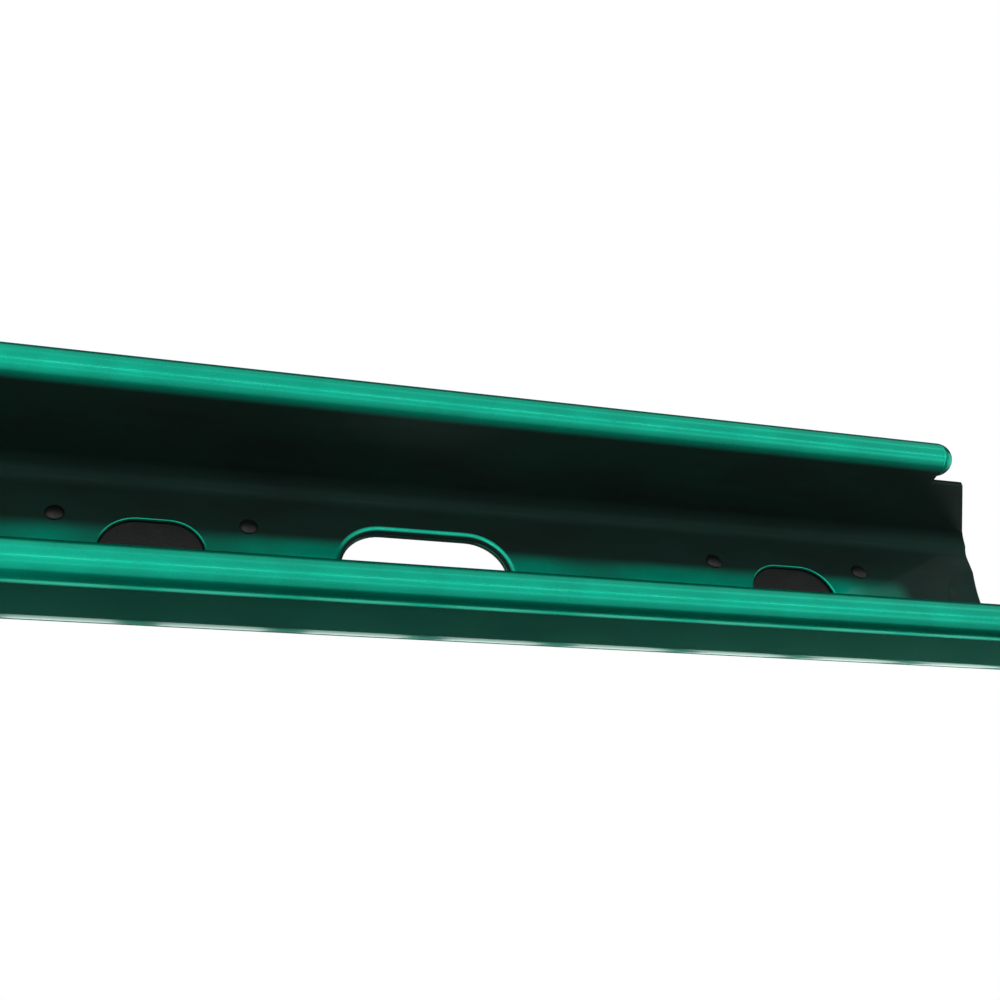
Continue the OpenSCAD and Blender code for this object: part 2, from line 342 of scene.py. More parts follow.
@dataclass(frozen=True)
class GreenPaint:
    """Candy green over a metal flake, under a clear coat.

    The inside of the channel carries painted shade: a near-black laid over the green, leaving a
    green band down the middle of the web.

    Fields:
        name: The material's name.
        bright, deep: The green, on a bright and on a dark flake.
        painted_shade: The near-black painted shade inside the channel.
        shadow: Painted shade of the outer side walls.
        edge: Tint of the mirrored light.
        flake: Size of a flake, in metres.
        metal: Metallic share of the green.
        bend: Middle of the bend between web and wall: how far aside, and over the web.
        dimple: Radius and depth of the dimple at the upper end.

    Each other pair bounds a mask, which is 0 at the first value and 1 at the second, in metres.
    Widths are measured from the middle plane, depths from the web's inner face, fades from the
    rims' middle, ends down from the upper end and the dust's height from the ground. The sizes
    are those of the noises.
    """

    name: str = "green_flake_paint"
    bright: Colour = (0.0, 0.56, 0.36)
    deep: Colour = (0.0, 0.44, 0.28)
    # Painted shade: the near-black laid over the inside of the channel.
    painted_shade: Colour = (0.011, 0.0105, 0.0105)
    # Painted shade: dark green-black laid over the outer side walls below the rims.
    shadow: Colour = (0.004, 0.012, 0.010)
    edge: Colour = (0.12, 0.95, 0.75)
    dust_tint: Colour = (0.20, 0.19, 0.16)
    flake: float = 0.35 * MM
    metal: float = 0.92
    bend: Pair = (24.0 * MM, 8.0 * MM)
    dimple: Pair = (17.0 * MM, 3.0 * MM)
    # The width, depth, end, patch, lip and slot pairs bound the painted shade inside the channel;
    # the skin pairs bound the painted shade of the outer walls.
    inside_width: Pair = (34.4 * MM, 32.8 * MM)
    outside_width: Pair = (33.3 * MM, 33.1 * MM)
    rim_fade: Pair = (4.5 * MM, -1.0 * MM)
    green_middle: Pair = (2.5 * MM, 11.0 * MM)
    face_depth: Pair = (-0.12 * MM, -0.02 * MM)
    dark_end: Pair = (42.0 * MM, 34.0 * MM)
    dim_end: Pair = (70.0 * MM, 52.0 * MM)
    dim_share: float = 0.6
    cut_depth: Pair = (-1.95 * MM, -1.80 * MM)
    dust_height: Pair = (0.20, 0.06)
    patch_size: float = 55.0 * MM
    shade_noise_size: float = 14.0 * MM
    tone_size: float = 9.0 * MM
    scuff_size: float = 5.0 * MM
    smear_size: float = 20.0 * MM
    wave_size: float = 46.0 * MM
    peel_size: float = 1.6 * MM
    relief: float = 0.25 * MM
    patch_width: Pair = (13.0 * MM, 11.0 * MM)
    patch_depth: Pair = (1.0 * MM, 0.2 * MM)
    punched_start: Pair = (-0.4 * MM, -0.8 * MM)
    punched_end: Pair = (-1.98 * MM, -1.94 * MM)
    lip_start: Pair = (-2.03 * MM, -2.07 * MM)
    slot_width: Pair = (18.5 * MM, 17.9 * MM)
    skin_radius: Pair = (8.8 * MM, 9.2 * MM)
    skin_width: Pair = (25.0 * MM, 31.0 * MM)
    skin_fade: Pair = (2.5 * MM, -3.0 * MM)
    gloss_fade: Pair = (-6.0 * MM, -9.0 * MM)

    def material(self, web: float, rim_height: float, top: float) -> bpy.types.Material:
        """Builds the material.

        Args:
            web: Y of the channel's inner face.
            rim_height: Height of the rims' middle over it.
            top: Z of the channel's upper end.

        Returns:
            The material.
        """
        paint = Painter(self.name)
        x, y, z = paint.axes()
        depth = y - web
        # Painted shade: below the rims the inside goes near-black, except a green band down the
        # middle of the web, which itself darkens towards the upper end.
        low_wall = abs(x).step(*self.outside_width)
        rim_side = abs(x).step(*self.inside_width) * depth.step(rim_height - MM, rim_height)
        fade = (depth - rim_height).step(*self.rim_fade)
        inside = (low_wall + rim_side - low_wall * rim_side) * fade
        end = (top - z).step(*self.dark_end)
        beside = abs(x).step(*self.green_middle)
        face = depth.step(*self.face_depth)
        far = (x * x + (top - z) * (top - z)) / self.dimple[0] ** 2
        bowl = (1 - far).above(0.0) * self.dimple[1]
        capped = end * (depth + bowl).step(*self.cut_depth)
        dim = end + self.dim_share * (1 - end) * (top - z).step(*self.dim_end)
        inside = inside * (beside + dim - beside * dim) * (face + capped - face * capped)
        # More painted shade: dark patches beside the web's middle, and on the inner faces of the
        # slots' edges and lips.
        patchy = paint.noise(self.patch_size, 1.0).step(0.42, 0.60)
        near_middle = abs(x).step(*self.patch_width) * depth.step(*self.patch_depth) * face
        inside = inside + (1 - inside) * near_middle * patchy * 0.6
        punched = depth.step(*self.punched_start) * depth.step(*self.punched_end)
        lip = depth.step(*self.lip_start)
        edges = (punched + lip) * abs(x).step(*self.slot_width) * (1 - end)
        inside = inside + (1 - inside) * edges
        # Slight noise in the share of painted shade.
        shade_noise = paint.noise(self.shade_noise_size, 3.0, (1, 1, 3))
        painted_shade_share = inside * (0.95 + 0.05 * shade_noise)
        tone = paint.noise(self.tone_size, 3.0, (1, 1, 1.6)).step(0.3, 0.7)
        _, cell_colour = paint.cells(self.flake)
        spark = paint.result(
            paint.node("ShaderNodeSeparateColor", inputs={"Color": cell_colour}), 0
        )
        green = paint.mix(tone * 0.6 + spark * 0.4, self.deep, self.bright)
        # Painted shade: the green gives way to near-black where that share is on; metal and coat
        # drop there too.
        colour = paint.mix(painted_shade_share, green, self.painted_shade)
        scuff = paint.noise(self.scuff_size, 6.0, (1, 1, 9)).step(0.66, 0.76)
        # Painted shade on the outer side walls: round the bend and up to the rims, the paint is
        # mixed towards the shadow colour.
        across = (abs(x) - self.bend[0]).above(0.0)
        around = (self.bend[1] - depth).above(0.0)
        skin = (across * across + around * around) ** 0.5
        side = skin.step(*self.skin_radius) * abs(x).step(*self.skin_width)
        side = side * (depth - rim_height).step(*self.skin_fade)
        colour = paint.mix(side * 0.93, colour, self.shadow)
        glossy = side * (depth - rim_height).step(*self.gloss_fade)
        dust = z.step(*self.dust_height) * paint.noise(self.tone_size, 5.0).step(0.45, 0.75)
        colour = paint.mix(dust * 0.5, colour, self.dust_tint)
        wave = paint.noise(self.wave_size, 1.0, (1, 1, 1.2))
        peel = paint.noise(self.peel_size, 2.0)
        height = wave * 1.6 + peel * 0.012 + spark * 0.006
        smear = paint.noise(self.smear_size, 4.0)
        paint.feed(
            Base_Color=colour,
            Metallic=self.metal * (1 - painted_shade_share) * (1 - 0.6 * dust),
            Roughness=0.26 + 0.05 * smear + 0.10 * scuff + 0.25 * (dust + painted_shade_share),
            Coat_Weight=(0.3 - 0.25 * painted_shade_share) * (1 - side) + 0.95 * glossy,
            Coat_Roughness=0.10,
            Specular_IOR_Level=0.15,
            Specular_Tint=self.edge,
            Coat_IOR=1.5,
            Normal=paint.bump(height, self.relief),
        )
        return paint.material


@dataclass(frozen=True)
class Galvanised:
    """Hot-dip galvanised steel, with its spangle and white bloom."""

    name: str = "galvanised_steel"
    dark: Colour = (0.36, 0.38, 0.39)
    bright: Colour = (0.60, 0.62, 0.63)
    bloom_tint: Colour = (0.74, 0.75, 0.74)
    spangle: float = 7.0 * MM
    cloud: float = 35.0 * MM
    bloom: float = 12.0 * MM
    grain: float = 0.8 * MM
    relief: float = 0.08 * MM

    def material(self) -> bpy.types.Material:
        """Builds the material."""
        paint = Painter(self.name)
        _, colour = paint.cells(self.spangle)
        shade = paint.result(paint.node("ShaderNodeSeparateColor", inputs={"Color": colour}), 0)
        cloud = paint.noise(self.cloud, 5.0)
        bloom = paint.noise(self.bloom, 6.0).step(0.55, 0.72)
        base = paint.mix(shade * 0.7 + cloud * 0.3, self.dark, self.bright)
        base = paint.mix(bloom * 0.35, base, self.bloom_tint)
        grain = paint.noise(self.grain, 3.0)
        paint.feed(
            Base_Color=base,
            Metallic=0.92 - 0.5 * bloom,
            Roughness=0.34 + 0.16 * shade + 0.2 * bloom,
            Normal=paint.bump(grain * 0.5 + cloud * 0.5 + shade * 0.15, self.relief),
        )
        return paint.material


@dataclass(frozen=True)
class ZincPlate:
    """Zinc plating with a faint yellow and blue cast, for bolts, nuts, washers and blocks."""

    name: str = "zinc_plate"
    yellow: Colour = (0.66, 0.63, 0.52)
    blue: Colour = (0.60, 0.64, 0.68)
    stain_tint: Colour = (0.30, 0.29, 0.26)
    cast: float = 6.0 * MM
    stain: float = 3.0 * MM
    scratch: float = 0.5 * MM
    relief: float = 0.03 * MM

    def material(self) -> bpy.types.Material:
        """Builds the material."""
        paint = Painter(self.name)
        cast = paint.noise(self.cast, 3.0)
        stain = paint.noise(self.stain, 6.0).step(0.56, 0.70)
        base = paint.mix(cast, self.yellow, self.blue)
        base = paint.mix(stain * 0.45, base, self.stain_tint)
        scratch = paint.noise(self.scratch, 2.0, (1, 14, 1))
        paint.feed(
            Base_Color=base,
            Metallic=1.0 - 0.35 * stain,
            Roughness=0.26 + 0.12 * cast + 0.25 * stain,
            Normal=paint.bump(scratch, self.relief),
        )
        return paint.material


@dataclass(frozen=True)
class Moulded:
    """Moulded plastic or rubber with a fine grain.

    Fields:
        name: The material's name.
        colour: Its colour.
        grain: Size of the moulded grain, in metres.
        depth: Depth of the grain, in metres.
        roughness: How dull it is.
    """

    name: str
    colour: Colour = (0.006, 0.006, 0.0065)
    grain: float = 0.9 * MM
    depth: float = 0.05 * MM
    roughness: float = 0.42

    def material(self) -> bpy.types.Material:
        """Builds the material."""
        paint = Painter(self.name)
        pebble, _ = paint.cells(self.grain)
        tone = paint.noise(18 * MM, 4.0)
        chalk = paint.noise(7 * MM, 6.0).step(0.55, 0.75)
        faded = tuple(c * 2.5 + 0.003 for c in self.colour)
        base = paint.mix(0.25 * tone + 0.35 * chalk, self.colour, faded)
        paint.feed(
            Base_Color=base,
            Roughness=self.roughness + 0.10 * tone + 0.12 * chalk,
            Normal=paint.bump(pebble, self.depth),
        )
        return paint.material


@dataclass(frozen=True)
class PrismSheet:
    """Metallised plastic, bright, with a fine ruling."""

    name: str = "prism_sheet"
    dull: Colour = (0.74, 0.76, 0.80)
    bright: Colour = (0.93, 0.93, 0.92)
    haze: float = 9.0 * MM
    ruling: float = 0.4 * MM
    relief: float = 0.01 * MM

    def material(self) -> bpy.types.Material:
        """Builds the material."""
        paint = Painter(self.name)
        haze = paint.noise(self.haze, 4.0)
        base = paint.mix(haze, self.dull, self.bright)
        paint.feed(
            Base_Color=base,
            Metallic=1.0,
            Roughness=0.08 + 0.14 * haze,
            Normal=paint.bump(paint.noise(self.ruling, 2.0), self.relief),
        )
        return paint.material


@dataclass(frozen=True)
class AmberLens:
    """Clear amber plastic with a trace of road film."""

    name: str = "amber_lens"
    clean: Colour = (1.0, 0.30, 0.008)
    filmed: Colour = (0.90, 0.42, 0.07)
    film: float = 11.0 * MM
    wave: float = 16.0 * MM
    relief: float = 0.05 * MM

    def material(self) -> bpy.types.Material:
        """Builds the material."""
        paint = Painter(self.name)
        film = paint.noise(self.film, 5.0).step(0.50, 0.80)
        base = paint.mix(film * 0.4, self.clean, self.filmed)
        paint.feed(
            Base_Color=base,
            Roughness=0.05 + 0.22 * film,
            Transmission_Weight=0.45,
            IOR=1.49,
            Normal=paint.bump(paint.noise(self.wave, 1.0), self.relief),
        )
        return paint.material


@dataclass(frozen=True)
class StudioFloor:
    """Plain pale floor."""

    name: str = "studio_floor"
    dark: Colour = (0.74, 0.74, 0.73)
    bright: Colour = (0.80, 0.80, 0.79)
    cloud: float = 0.4
    grain: float = 3.0 * MM
    relief: float = 0.1 * MM

    def material(self) -> bpy.types.Material:
        """Builds the material."""
        paint = Painter(self.name)
        tone = paint.noise(self.cloud, 4.0)
        paint.feed(
            Base_Color=paint.mix(tone, self.dark, self.bright),
            Roughness=0.62 + 0.1 * tone,
            Normal=paint.bump(paint.noise(self.grain, 4.0), self.relief),
        )
        return paint.material


# ---------------------------------------------------------------- mesh tools


def linked(name: str, data: bpy.types.ID) -> bpy.types.Object:
    """Makes an object of some data, in the scene.

    Args:
        name: The object's name.
        data: Its mesh, light or camera.

    Returns:
        The object.
    """
    made = bpy.data.objects.new(name, data)
    bpy.context.scene.collection.objects.link(made)
    return made


def middle(node: str) -> Vector:
    """Middle of a node's box.

    Args:
        node: The node's name.

    Returns:
        The point.
    """
    low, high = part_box(node)
    return (low + high) / 2


class Surface:
    """Collects points with normals and faces, and makes one mesh of them.

    Each face is turned so that it agrees with the normals of its points.
    """

    GRID = 1e-7

    def __init__(self) -> None:
        """Starts an empty surface."""
        self.points: list[Vector] = []
        self.normals: list[Vector] = []
        self.faces: list[list[int]] = []
        self._known: dict[tuple[int, ...], int] = {}

    def point(self, place: Sequence[float], normal: Sequence[float]) -> int:
        """Adds a point, or finds the one that is already there.

        Args:
            place: Where it is, in metres.
            normal: Which way the surface faces there.

        Returns:
            The point's number.
        """
        key = tuple(round(c / self.GRID) for c in place)
        if key not in self._known:
            self._known[key] = len(self.points)
            self.points.append(Vector(place))
            self.normals.append(Vector(normal).normalized())
        return self._known[key]

    def face(self, corners: Sequence[int]) -> None:
        """Adds a face, without corners that fall together.

        Args:
            corners: The points' numbers, in order round the face.
        """
        kept = [c for i, c in enumerate(corners) if c != corners[i - 1]]
        if len(set(kept)) < 3:
            return
        across = (self.points[kept[1]] - self.points[kept[0]]).cross(
            self.points[kept[-1]] - self.points[kept[0]]
        )
        facing = sum((self.normals[c] for c in kept), Vector())
        if across.dot(facing) < 0:
            kept.reverse()
        self.faces.append(kept)

    def strip(self, first: Sequence[int], second: Sequence[int], closed: bool = False) -> None:
        """Joins two rows of points by quads.

        Args:
            first: One row.
            second: The other, of the same length.
            closed: Whether the rows run round.
        """
        count = len(first)
        for i in range(count if closed else count - 1):
            j = (i + 1) % count
            self.face([first[i], first[j], second[j], second[i]])

    def rows(self, rows: Sequence[Sequence[int]], closed: bool = False) -> None:
        """Joins each row to the next one.

        Args:
            rows: Rows of equal length.
            closed: Whether the rows run round.
        """
        for first, second in zip(rows, rows[1:]):
            self.strip(first, second, closed)

    def object(self, name: str, material: bpy.types.Material) -> bpy.types.Object:
        """Makes the object.

        Args:
            name: Its name.
            material: Its material.

        Returns:
            The object, at the origin.
        """
        mesh = bpy.data.meshes.new(name)
        mesh.from_pydata([tuple(p) for p in self.points], [], self.faces)
        mesh.update()
        for polygon in mesh.polygons:
            polygon.use_smooth = True
        mesh.normals_split_custom_set_from_vertices([tuple(n) for n in self.normals])
        mesh.materials.append(material)
        return linked(name, mesh)


def arc(first: float, last: float, steps: int) -> list[float]:
    """Angles in equal steps.

    Args:
        first: The first angle, in degrees.
        last: The last angle, in degrees.
        steps: Steps between them.

    Returns:
        The angles, in radians.
    """
    return [math.radians(first + (last - first) * i / steps) for i in range(steps + 1)]


def turned(
    name: str,
    profile: Sequence[Pair],
    centres: Sequence[Sequence[float]],
    material: bpy.types.Material,
    up: Sequence[float] = (0, 1, 0),
    steps: int = 48,
) -> bpy.types.Object:
    """Turns a profile on a lathe, once at each centre.

    Args:
        name: The object's name.
        profile: Pairs of radius and height, along the outside. It starts and ends on the axis
            or comes back to its first pair.
        centres: Where the profile's zero height lies.
        material: The material.
        up: Direction of the axis.
        steps: Steps round the axis.

    Returns:
        The object.
    """
    axis = Vector(up).normalized()
    aside = axis.orthogonal().normalized()
    across = axis.cross(aside)
    angles = arc(0, 360 - 360 / steps, steps - 1)
    made = bmesh.new()
    for centre in centres:
        rings = []
        for radius, height in profile:
            base = Vector(centre) + axis * height
            if radius < 1e-9:
                rings.append([made.verts.new(base)])
                continue
            ways = [aside * math.cos(a) + across * math.sin(a) for a in angles]
            rings.append([made.verts.new(base + radius * way) for way in ways])
        for low, high in zip(rings, rings[1:]):
            for i in range(steps):
                j = (i + 1) % steps
                around = ((low, i), (low, j), (high, j), (high, i))
                unique = list(dict.fromkeys(ring[place % len(ring)] for ring, place in around))
                if len(unique) > 2:
                    made.faces.new(unique)
    bmesh.ops.remove_doubles(made, verts=made.verts, dist=1e-7)
    bmesh.ops.recalc_face_normals(made, faces=made.faces)
    return from_bmesh(made, name, material)


def from_bmesh(
    made: bmesh.types.BMesh, name: str, material: bpy.types.Material, sharp: float = 40.0
) -> bpy.types.Object:
    """Makes an object of a bmesh and frees it.

    Args:
        made: The bmesh.
        name: The object's name.
        material: The material.
        sharp: Edges that turn by more degrees than this stay sharp.

    Returns:
        The object.
    """
    mesh = bpy.data.meshes.new(name)
    for face in made.faces:
        face.smooth = True
    for edge in made.edges:
        edge.smooth = not edge.is_manifold or edge.calc_face_angle(0.0) < math.radians(sharp)
    made.to_mesh(mesh)
    made.free()
    mesh.materials.append(material)
    return linked(name, mesh)


def applied(piece: bpy.types.Object) -> bpy.types.Object:
    """Turns a piece with modifiers into one with a plain mesh.

    Args:
        piece: The piece.

    Returns:
        The same piece, its modifiers gone.
    """
    bpy.context.view_layer.update()
    graph = bpy.context.evaluated_depsgraph_get()
    mesh = bpy.data.meshes.new_from_object(
        piece.evaluated_get(graph), preserve_all_data_layers=True, depsgraph=graph
    )
    piece.modifiers.clear()
    piece.data = mesh
    mesh.name = piece.name
    return piece


def softened(node: str, material: bpy.types.Material, width: float) -> bpy.types.Object:
    """Copies a node's shape and rounds its edges.

    Args:
        node: The node's name.
        material: The material.
        width: How far the rounding reaches, in metres.

    Returns:
        The piece.
    """
    made = bmesh.new()
    made.from_mesh(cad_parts[node].data)
    bmesh.ops.remove_doubles(made, verts=made.verts, dist=2e-6)
    bmesh.ops.dissolve_limit(
        made, angle_limit=math.radians(0.6), verts=made.verts, edges=made.edges
    )
    piece = from_bmesh(made, node + "_piece", material)
    bevel = piece.modifiers.new("edge", "BEVEL")
    bevel.width = width
    bevel.segments = 2
    bevel.limit_method = "ANGLE"
    bevel.angle_limit = math.radians(38)
    bevel.harden_normals = True
    bevel.miter_outer = "MITER_ARC"
    weighted = piece.modifiers.new("weight", "WEIGHTED_NORMAL")
    weighted.keep_sharp = True
    return applied(piece)


def delivered(
    piece: bpy.types.Object, body: Body, nodes: Iterable[str] = ()
) -> bpy.types.Object:
    """Hands a finished piece to the frame and logs it.

    Args:
        piece: The piece.
        body: The body that it rides on.
        nodes: The nodes that it stands for.

    Returns:
        The piece.
    """
    names = list(nodes)
    if names:
        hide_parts(*names)
    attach(piece, body.value)
    LOG.info("%s: %d faces on %s", piece.name, len(piece.data.polygons), body.value)
    return piece


class Growth:
    """A Geometry Nodes tree with named inputs, which ends in real, painted geometry."""

    KINDS = {
        float: "NodeSocketFloat",
        int: "NodeSocketInt",
        bpy.types.Object: "NodeSocketObject",
        bpy.types.Material: "NodeSocketMaterial",
    }

    def __init__(self, name: str) -> None:
        """Starts a tree that takes and gives geometry."""
        self.tree = bpy.data.node_groups.new(name, "GeometryNodeTree")
        for way in ("INPUT", "OUTPUT"):
            self.tree.interface.new_socket(
                "Geometry", in_out=way, socket_type="NodeSocketGeometry"
            )
        self.entry = self.tree.nodes.new("NodeGroupInput")
        self.exit = self.tree.nodes.new("NodeGroupOutput")
        self.values: dict[str, object] = {}

    def take(self, name: str, value: object) -> bpy.types.NodeSocket:
        """Adds a named input.

        Args:
            name: The input's name.
            value: What it is set to.

        Returns:
            The socket inside the tree.
        """
        kind = next(k for t, k in self.KINDS.items() if isinstance(value, t))
        socket = self.tree.interface.new_socket(name, in_out="INPUT", socket_type=kind)
        self.values[socket.identifier] = value
        return self.entry.outputs[name]

    def node(
        self, kind: str, settings: dict | None = None, inputs: dict | None = None
    ) -> bpy.types.Node:
        """Adds any node.

        Args:
            kind: The node's type.
            settings: Properties of the node, set first.
            inputs: Values or sockets, by the name or place of the input.

        Returns:
            The node.
        """
        made = self.tree.nodes.new(kind)
        for name, value in (settings or {}).items():
            setattr(made, name, value)
        for name, value in (inputs or {}).items():
            if isinstance(value, bpy.types.NodeSocket):
                self.tree.links.new(value, made.inputs[name])
            else:
                made.inputs[name].default_value = value
        return made

    def math(self, operation: str, first: object, second: object) -> bpy.types.NodeSocket:
        """Adds a Math node.

        Args:
            operation: The node's operation.
            first: Its first value or socket.
            second: Its second value or socket.

        Returns:
            Its result.
        """
        made = self.node("ShaderNodeMath", {"operation": operation}, {0: first, 1: second})
        return made.outputs[0]

    def grown(
        self, last: bpy.types.NodeSocket, seed: bpy.types.Object, material: bpy.types.Material
    ) -> bpy.types.Object:
        """Ends the tree, runs it on an object and makes the result a plain mesh.

        Args:
            last: The geometry to finish.
            seed: The object that the tree runs on.
            material: The material of the result.

        Returns:
            The object with its grown mesh.
        """
        wanted = self.take("Finish", material)
        real = self.node("GeometryNodeRealizeInstances", inputs={"Geometry": last})
        painted = self.node(
            "GeometryNodeSetMaterial", inputs={"Geometry": real.outputs[0], "Material": wanted}
        )
        self.tree.links.new(painted.outputs[0], self.exit.inputs[0])
        modifier = seed.modifiers.new("growth", "NODES")
        modifier.node_group = self.tree
        for identifier, value in self.values.items():
            modifier[identifier] = value
        return applied(seed)


def lines_of(name: str, lines: Sequence[Sequence[Sequence[float]]]) -> bpy.types.Object:
    """An object with one open line of edges for each list of points, for a tree to run on.

    Args:
        name: Its name.
        lines: The lists of points. A list of one point gives a loose point.

    Returns:
        The object.
    """
    points: list[tuple[float, ...]] = []
    edges: list[tuple[int, int]] = []
    for line in lines:
        first = len(points)
        points.extend(tuple(place) for place in line)
        edges.extend((first + i, first + i + 1) for i in range(len(line) - 1))
    mesh = bpy.data.meshes.new(name)
    mesh.from_pydata(points, edges, [])
    return linked(name, mesh)


def repeated(
    name: str,
    shape: bpy.types.Object,
    points: Sequence[Sequence[float]],
    material: bpy.types.Material,
) -> bpy.types.Object:
    """Sets a copy of a shape at each point, as one plain mesh.

    Args:
        name: The name of the result.
        shape: What is repeated. It is removed.
        points: Where its origin goes.
        material: The material.

    Returns:
        The object.
    """
    growth = Growth(name + "_tree")
    source = growth.take("Shape", shape)
    info = growth.node("GeometryNodeObjectInfo", inputs={"Object": source})
    copies = growth.node(
        "GeometryNodeInstanceOnPoints",
        inputs={
            "Points": growth.entry.outputs["Geometry"],
            "Instance": info.outputs["Geometry"],
        },
    )
    seed = lines_of(name, [[place] for place in points])
    made = growth.grown(copies.outputs[0], seed, material)
    bpy.data.objects.remove(shape)
    return made


# ---------------------------------------------------------------- post


@dataclass
class PostChannel:
    """The roll-formed channel: web, walls, rolled rims, punched slots and raked upper end."""

    paint: bpy.types.Material
    bend_radius: float = 10.0 * MM
    curl_end: float = -125.0
    small_width: float = 25.0 * MM
    small_length: float = 35.0 * MM
    small_edge: float = 0.8 * MM
    long_width: float = 29.5 * MM
    long_length: float = 61.0 * MM
    lip_bend: float = 3.0 * MM
    lip_land: float = 0.6 * MM
    lip_fillet: float = 1.0 * MM
    dimple_radius: float = 17.0 * MM
    dimple_depth: float = 3.0 * MM
    dimple_blend: float = 0.35 * MM
    rake_start: float = 1.0 * MM
    rake_reach: float = 4.0 * MM
    step_width: float = 0.02 * MM
    cut_round: float = 0.35 * MM
    steps_round_cap: int = 24
    dimple_edge: tuple[float, ...] = (0.955, 0.98, 1.0, 1.02, 1.05, 1.10)
    surface: Surface = field(default_factory=Surface)

    def __post_init__(self) -> None:
        """Reads places and main sizes from the frame."""
        low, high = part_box("post_channel")
        key_low, key_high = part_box("key_block")
        plug_low, plug_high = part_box("top_rim_plugs")
        self.web = key_high.y
        self.sheet = key_high.y - key_low.y
        self.foot = low.z
        self.top = high.z
        self.rim_radius = (plug_high.y - plug_low.y) / 2
        self.rim_x = high.x - self.rim_radius
        self.rim_height = high.y - self.web - self.rim_radius
        self.rim_top = plug_high.z - self.rim_radius
        self.wall = self.rim_x - self.rim_radius + self.sheet
        self.flat = self.wall - self.bend_radius
        self.rake_end = self.rim_height - self.rim_radius

    def small_slots(self) -> list[float]:
        """Heights of the small slots, from the top down."""
        upper = middle("upper_housing").z
        lower = middle("lower_housing").z
        last = middle("key_block").z
        pitch = upper - lower
        return [upper - pitch * i for i in range(round((upper - last) / pitch) + 1)]

    def long_slots(self) -> list[float]:
        """Heights of the long slots: one over each small slot but the first."""
        rise = middle("guide_block").z - middle("key_block").z
        return [height + rise for height in self.small_slots()[1:]]

    # ---- the rolled section

    def section(self) -> list[tuple[Vector, Vector, float]]:
        """Middle line of the sheet from the web's flat to the end of the rim, on the right.

        Returns:
            Points, the way towards the inside of the channel, and the half thickness there.
        """
        half = self.sheet / 2
        line: list[tuple[Vector, Vector, float]] = []
        bend = Vector((self.flat, self.bend_radius - self.sheet))
        for angle in arc(-90, 0, 14):
            way = Vector((math.cos(angle), math.sin(angle)))
            line.append((bend + way * (self.bend_radius - half), -way, half))
        wall_x = self.wall - half
        middle_wall = (bend.y + self.rake_end) / 2
        for height in (middle_wall, self.rake_end, self.rake_end + self.step_width):
            line.append((Vector((wall_x, height)), Vector((-1.0, 0.0)), half))
        rim = Vector((self.rim_x, self.rim_height))
        for angle in arc(180, self.curl_end, 60):
            way = Vector((math.cos(angle), math.sin(angle)))
            line.append((rim + way * (self.rim_radius - half), way, half))
        last = math.radians(self.curl_end)
        way = Vector((math.cos(last), math.sin(last)))
        onward = Vector((math.sin(last), -math.cos(last)))
        start = rim + way * (self.rim_radius - half)
        for angle in arc(30, 90, 2):
            inset = self.cut_round * (1 - math.cos(angle))
            place = start + onward * self.cut_round * math.sin(angle)
            line.append((place, way, half - inset))
        return line

    def end_of(self, height: float) -> float:
        """Where the channel ends.

        Args:
            height: A point's height over the web.

        Returns:
            Z of the end there.
        """
        if height > self.rake_end + self.step_width / 2:
            return self.rim_top
        across = self.rim_height + self.rim_radius - self.rake_start
        drop = self.top - self.rim_top - self.rim_radius
        return self.top - drop * max(height - self.rake_start, 0.0) / across

    def raked(self, height: float, z: float) -> float:
        """Moves a point along the post so that the upper end follows its rake.

        Args:
            height: The point's height over the web.
            z: Its Z on a channel with a square end.

        Returns:
            Its Z on the raked one.
        """
        start = self.rim_top - self.rake_reach
        if z <= start:
            return z
        return start + (z - start) * (self.end_of(height) - start) / (self.top - start)

    def stations(self) -> list[tuple[float, float]]:
        """Heights at which the section is set, with the angle of the rounding at the ends."""
        r = self.cut_round
        inner = self.top - r
        middle_rows = {self.foot + r, inner, self.rim_top - self.rake_reach}
        for centre, straight in self.slot_plan():
            middle_rows.update(self.edge_heights(centre, straight))
        middle_rows.update(inner - self.flat * math.tan(a) for a in self.quarter())
        rows = [(self.foot + r - r * math.sin(a), -a) for a in reversed(arc(30, 90, 2))]
        rows += [(z, 0.0) for z in sorted({round(z, 7) for z in middle_rows})]
        rows += [(inner + r * math.sin(a), a) for a in arc(30, 90, 2)]
        return rows

    def quarter(self) -> list[float]:
        """Angles from 0 to 45 degrees at the pitch of the slots' round ends."""
        return arc(0, 45, self.steps_round_cap // 4)

    def edge_heights(self, centre: float, straight: float) -> list[float]:
        """Heights where a slot's panel has points on the edge of the flat.

        Args:
            centre: The slot's height.
            straight: Half the length of its straight sides.

        Returns:
            The heights.
        """
        reach = [self.flat * math.tan(a) for a in self.quarter()]
        return [centre + sign * (straight + r) for sign in (-1, 1) for r in reach]

    def slot_plan(self) -> list[tuple[float, float]]:
        """Each slot's height and half the length of its straight sides, from the foot up."""
        small = (self.small_length - self.small_width) / 2
        long = (self.long_length - self.long_width) / 2
        plan = [(z, small) for z in self.small_slots()] + [(z, long) for z in self.long_slots()]
        return sorted(plan)

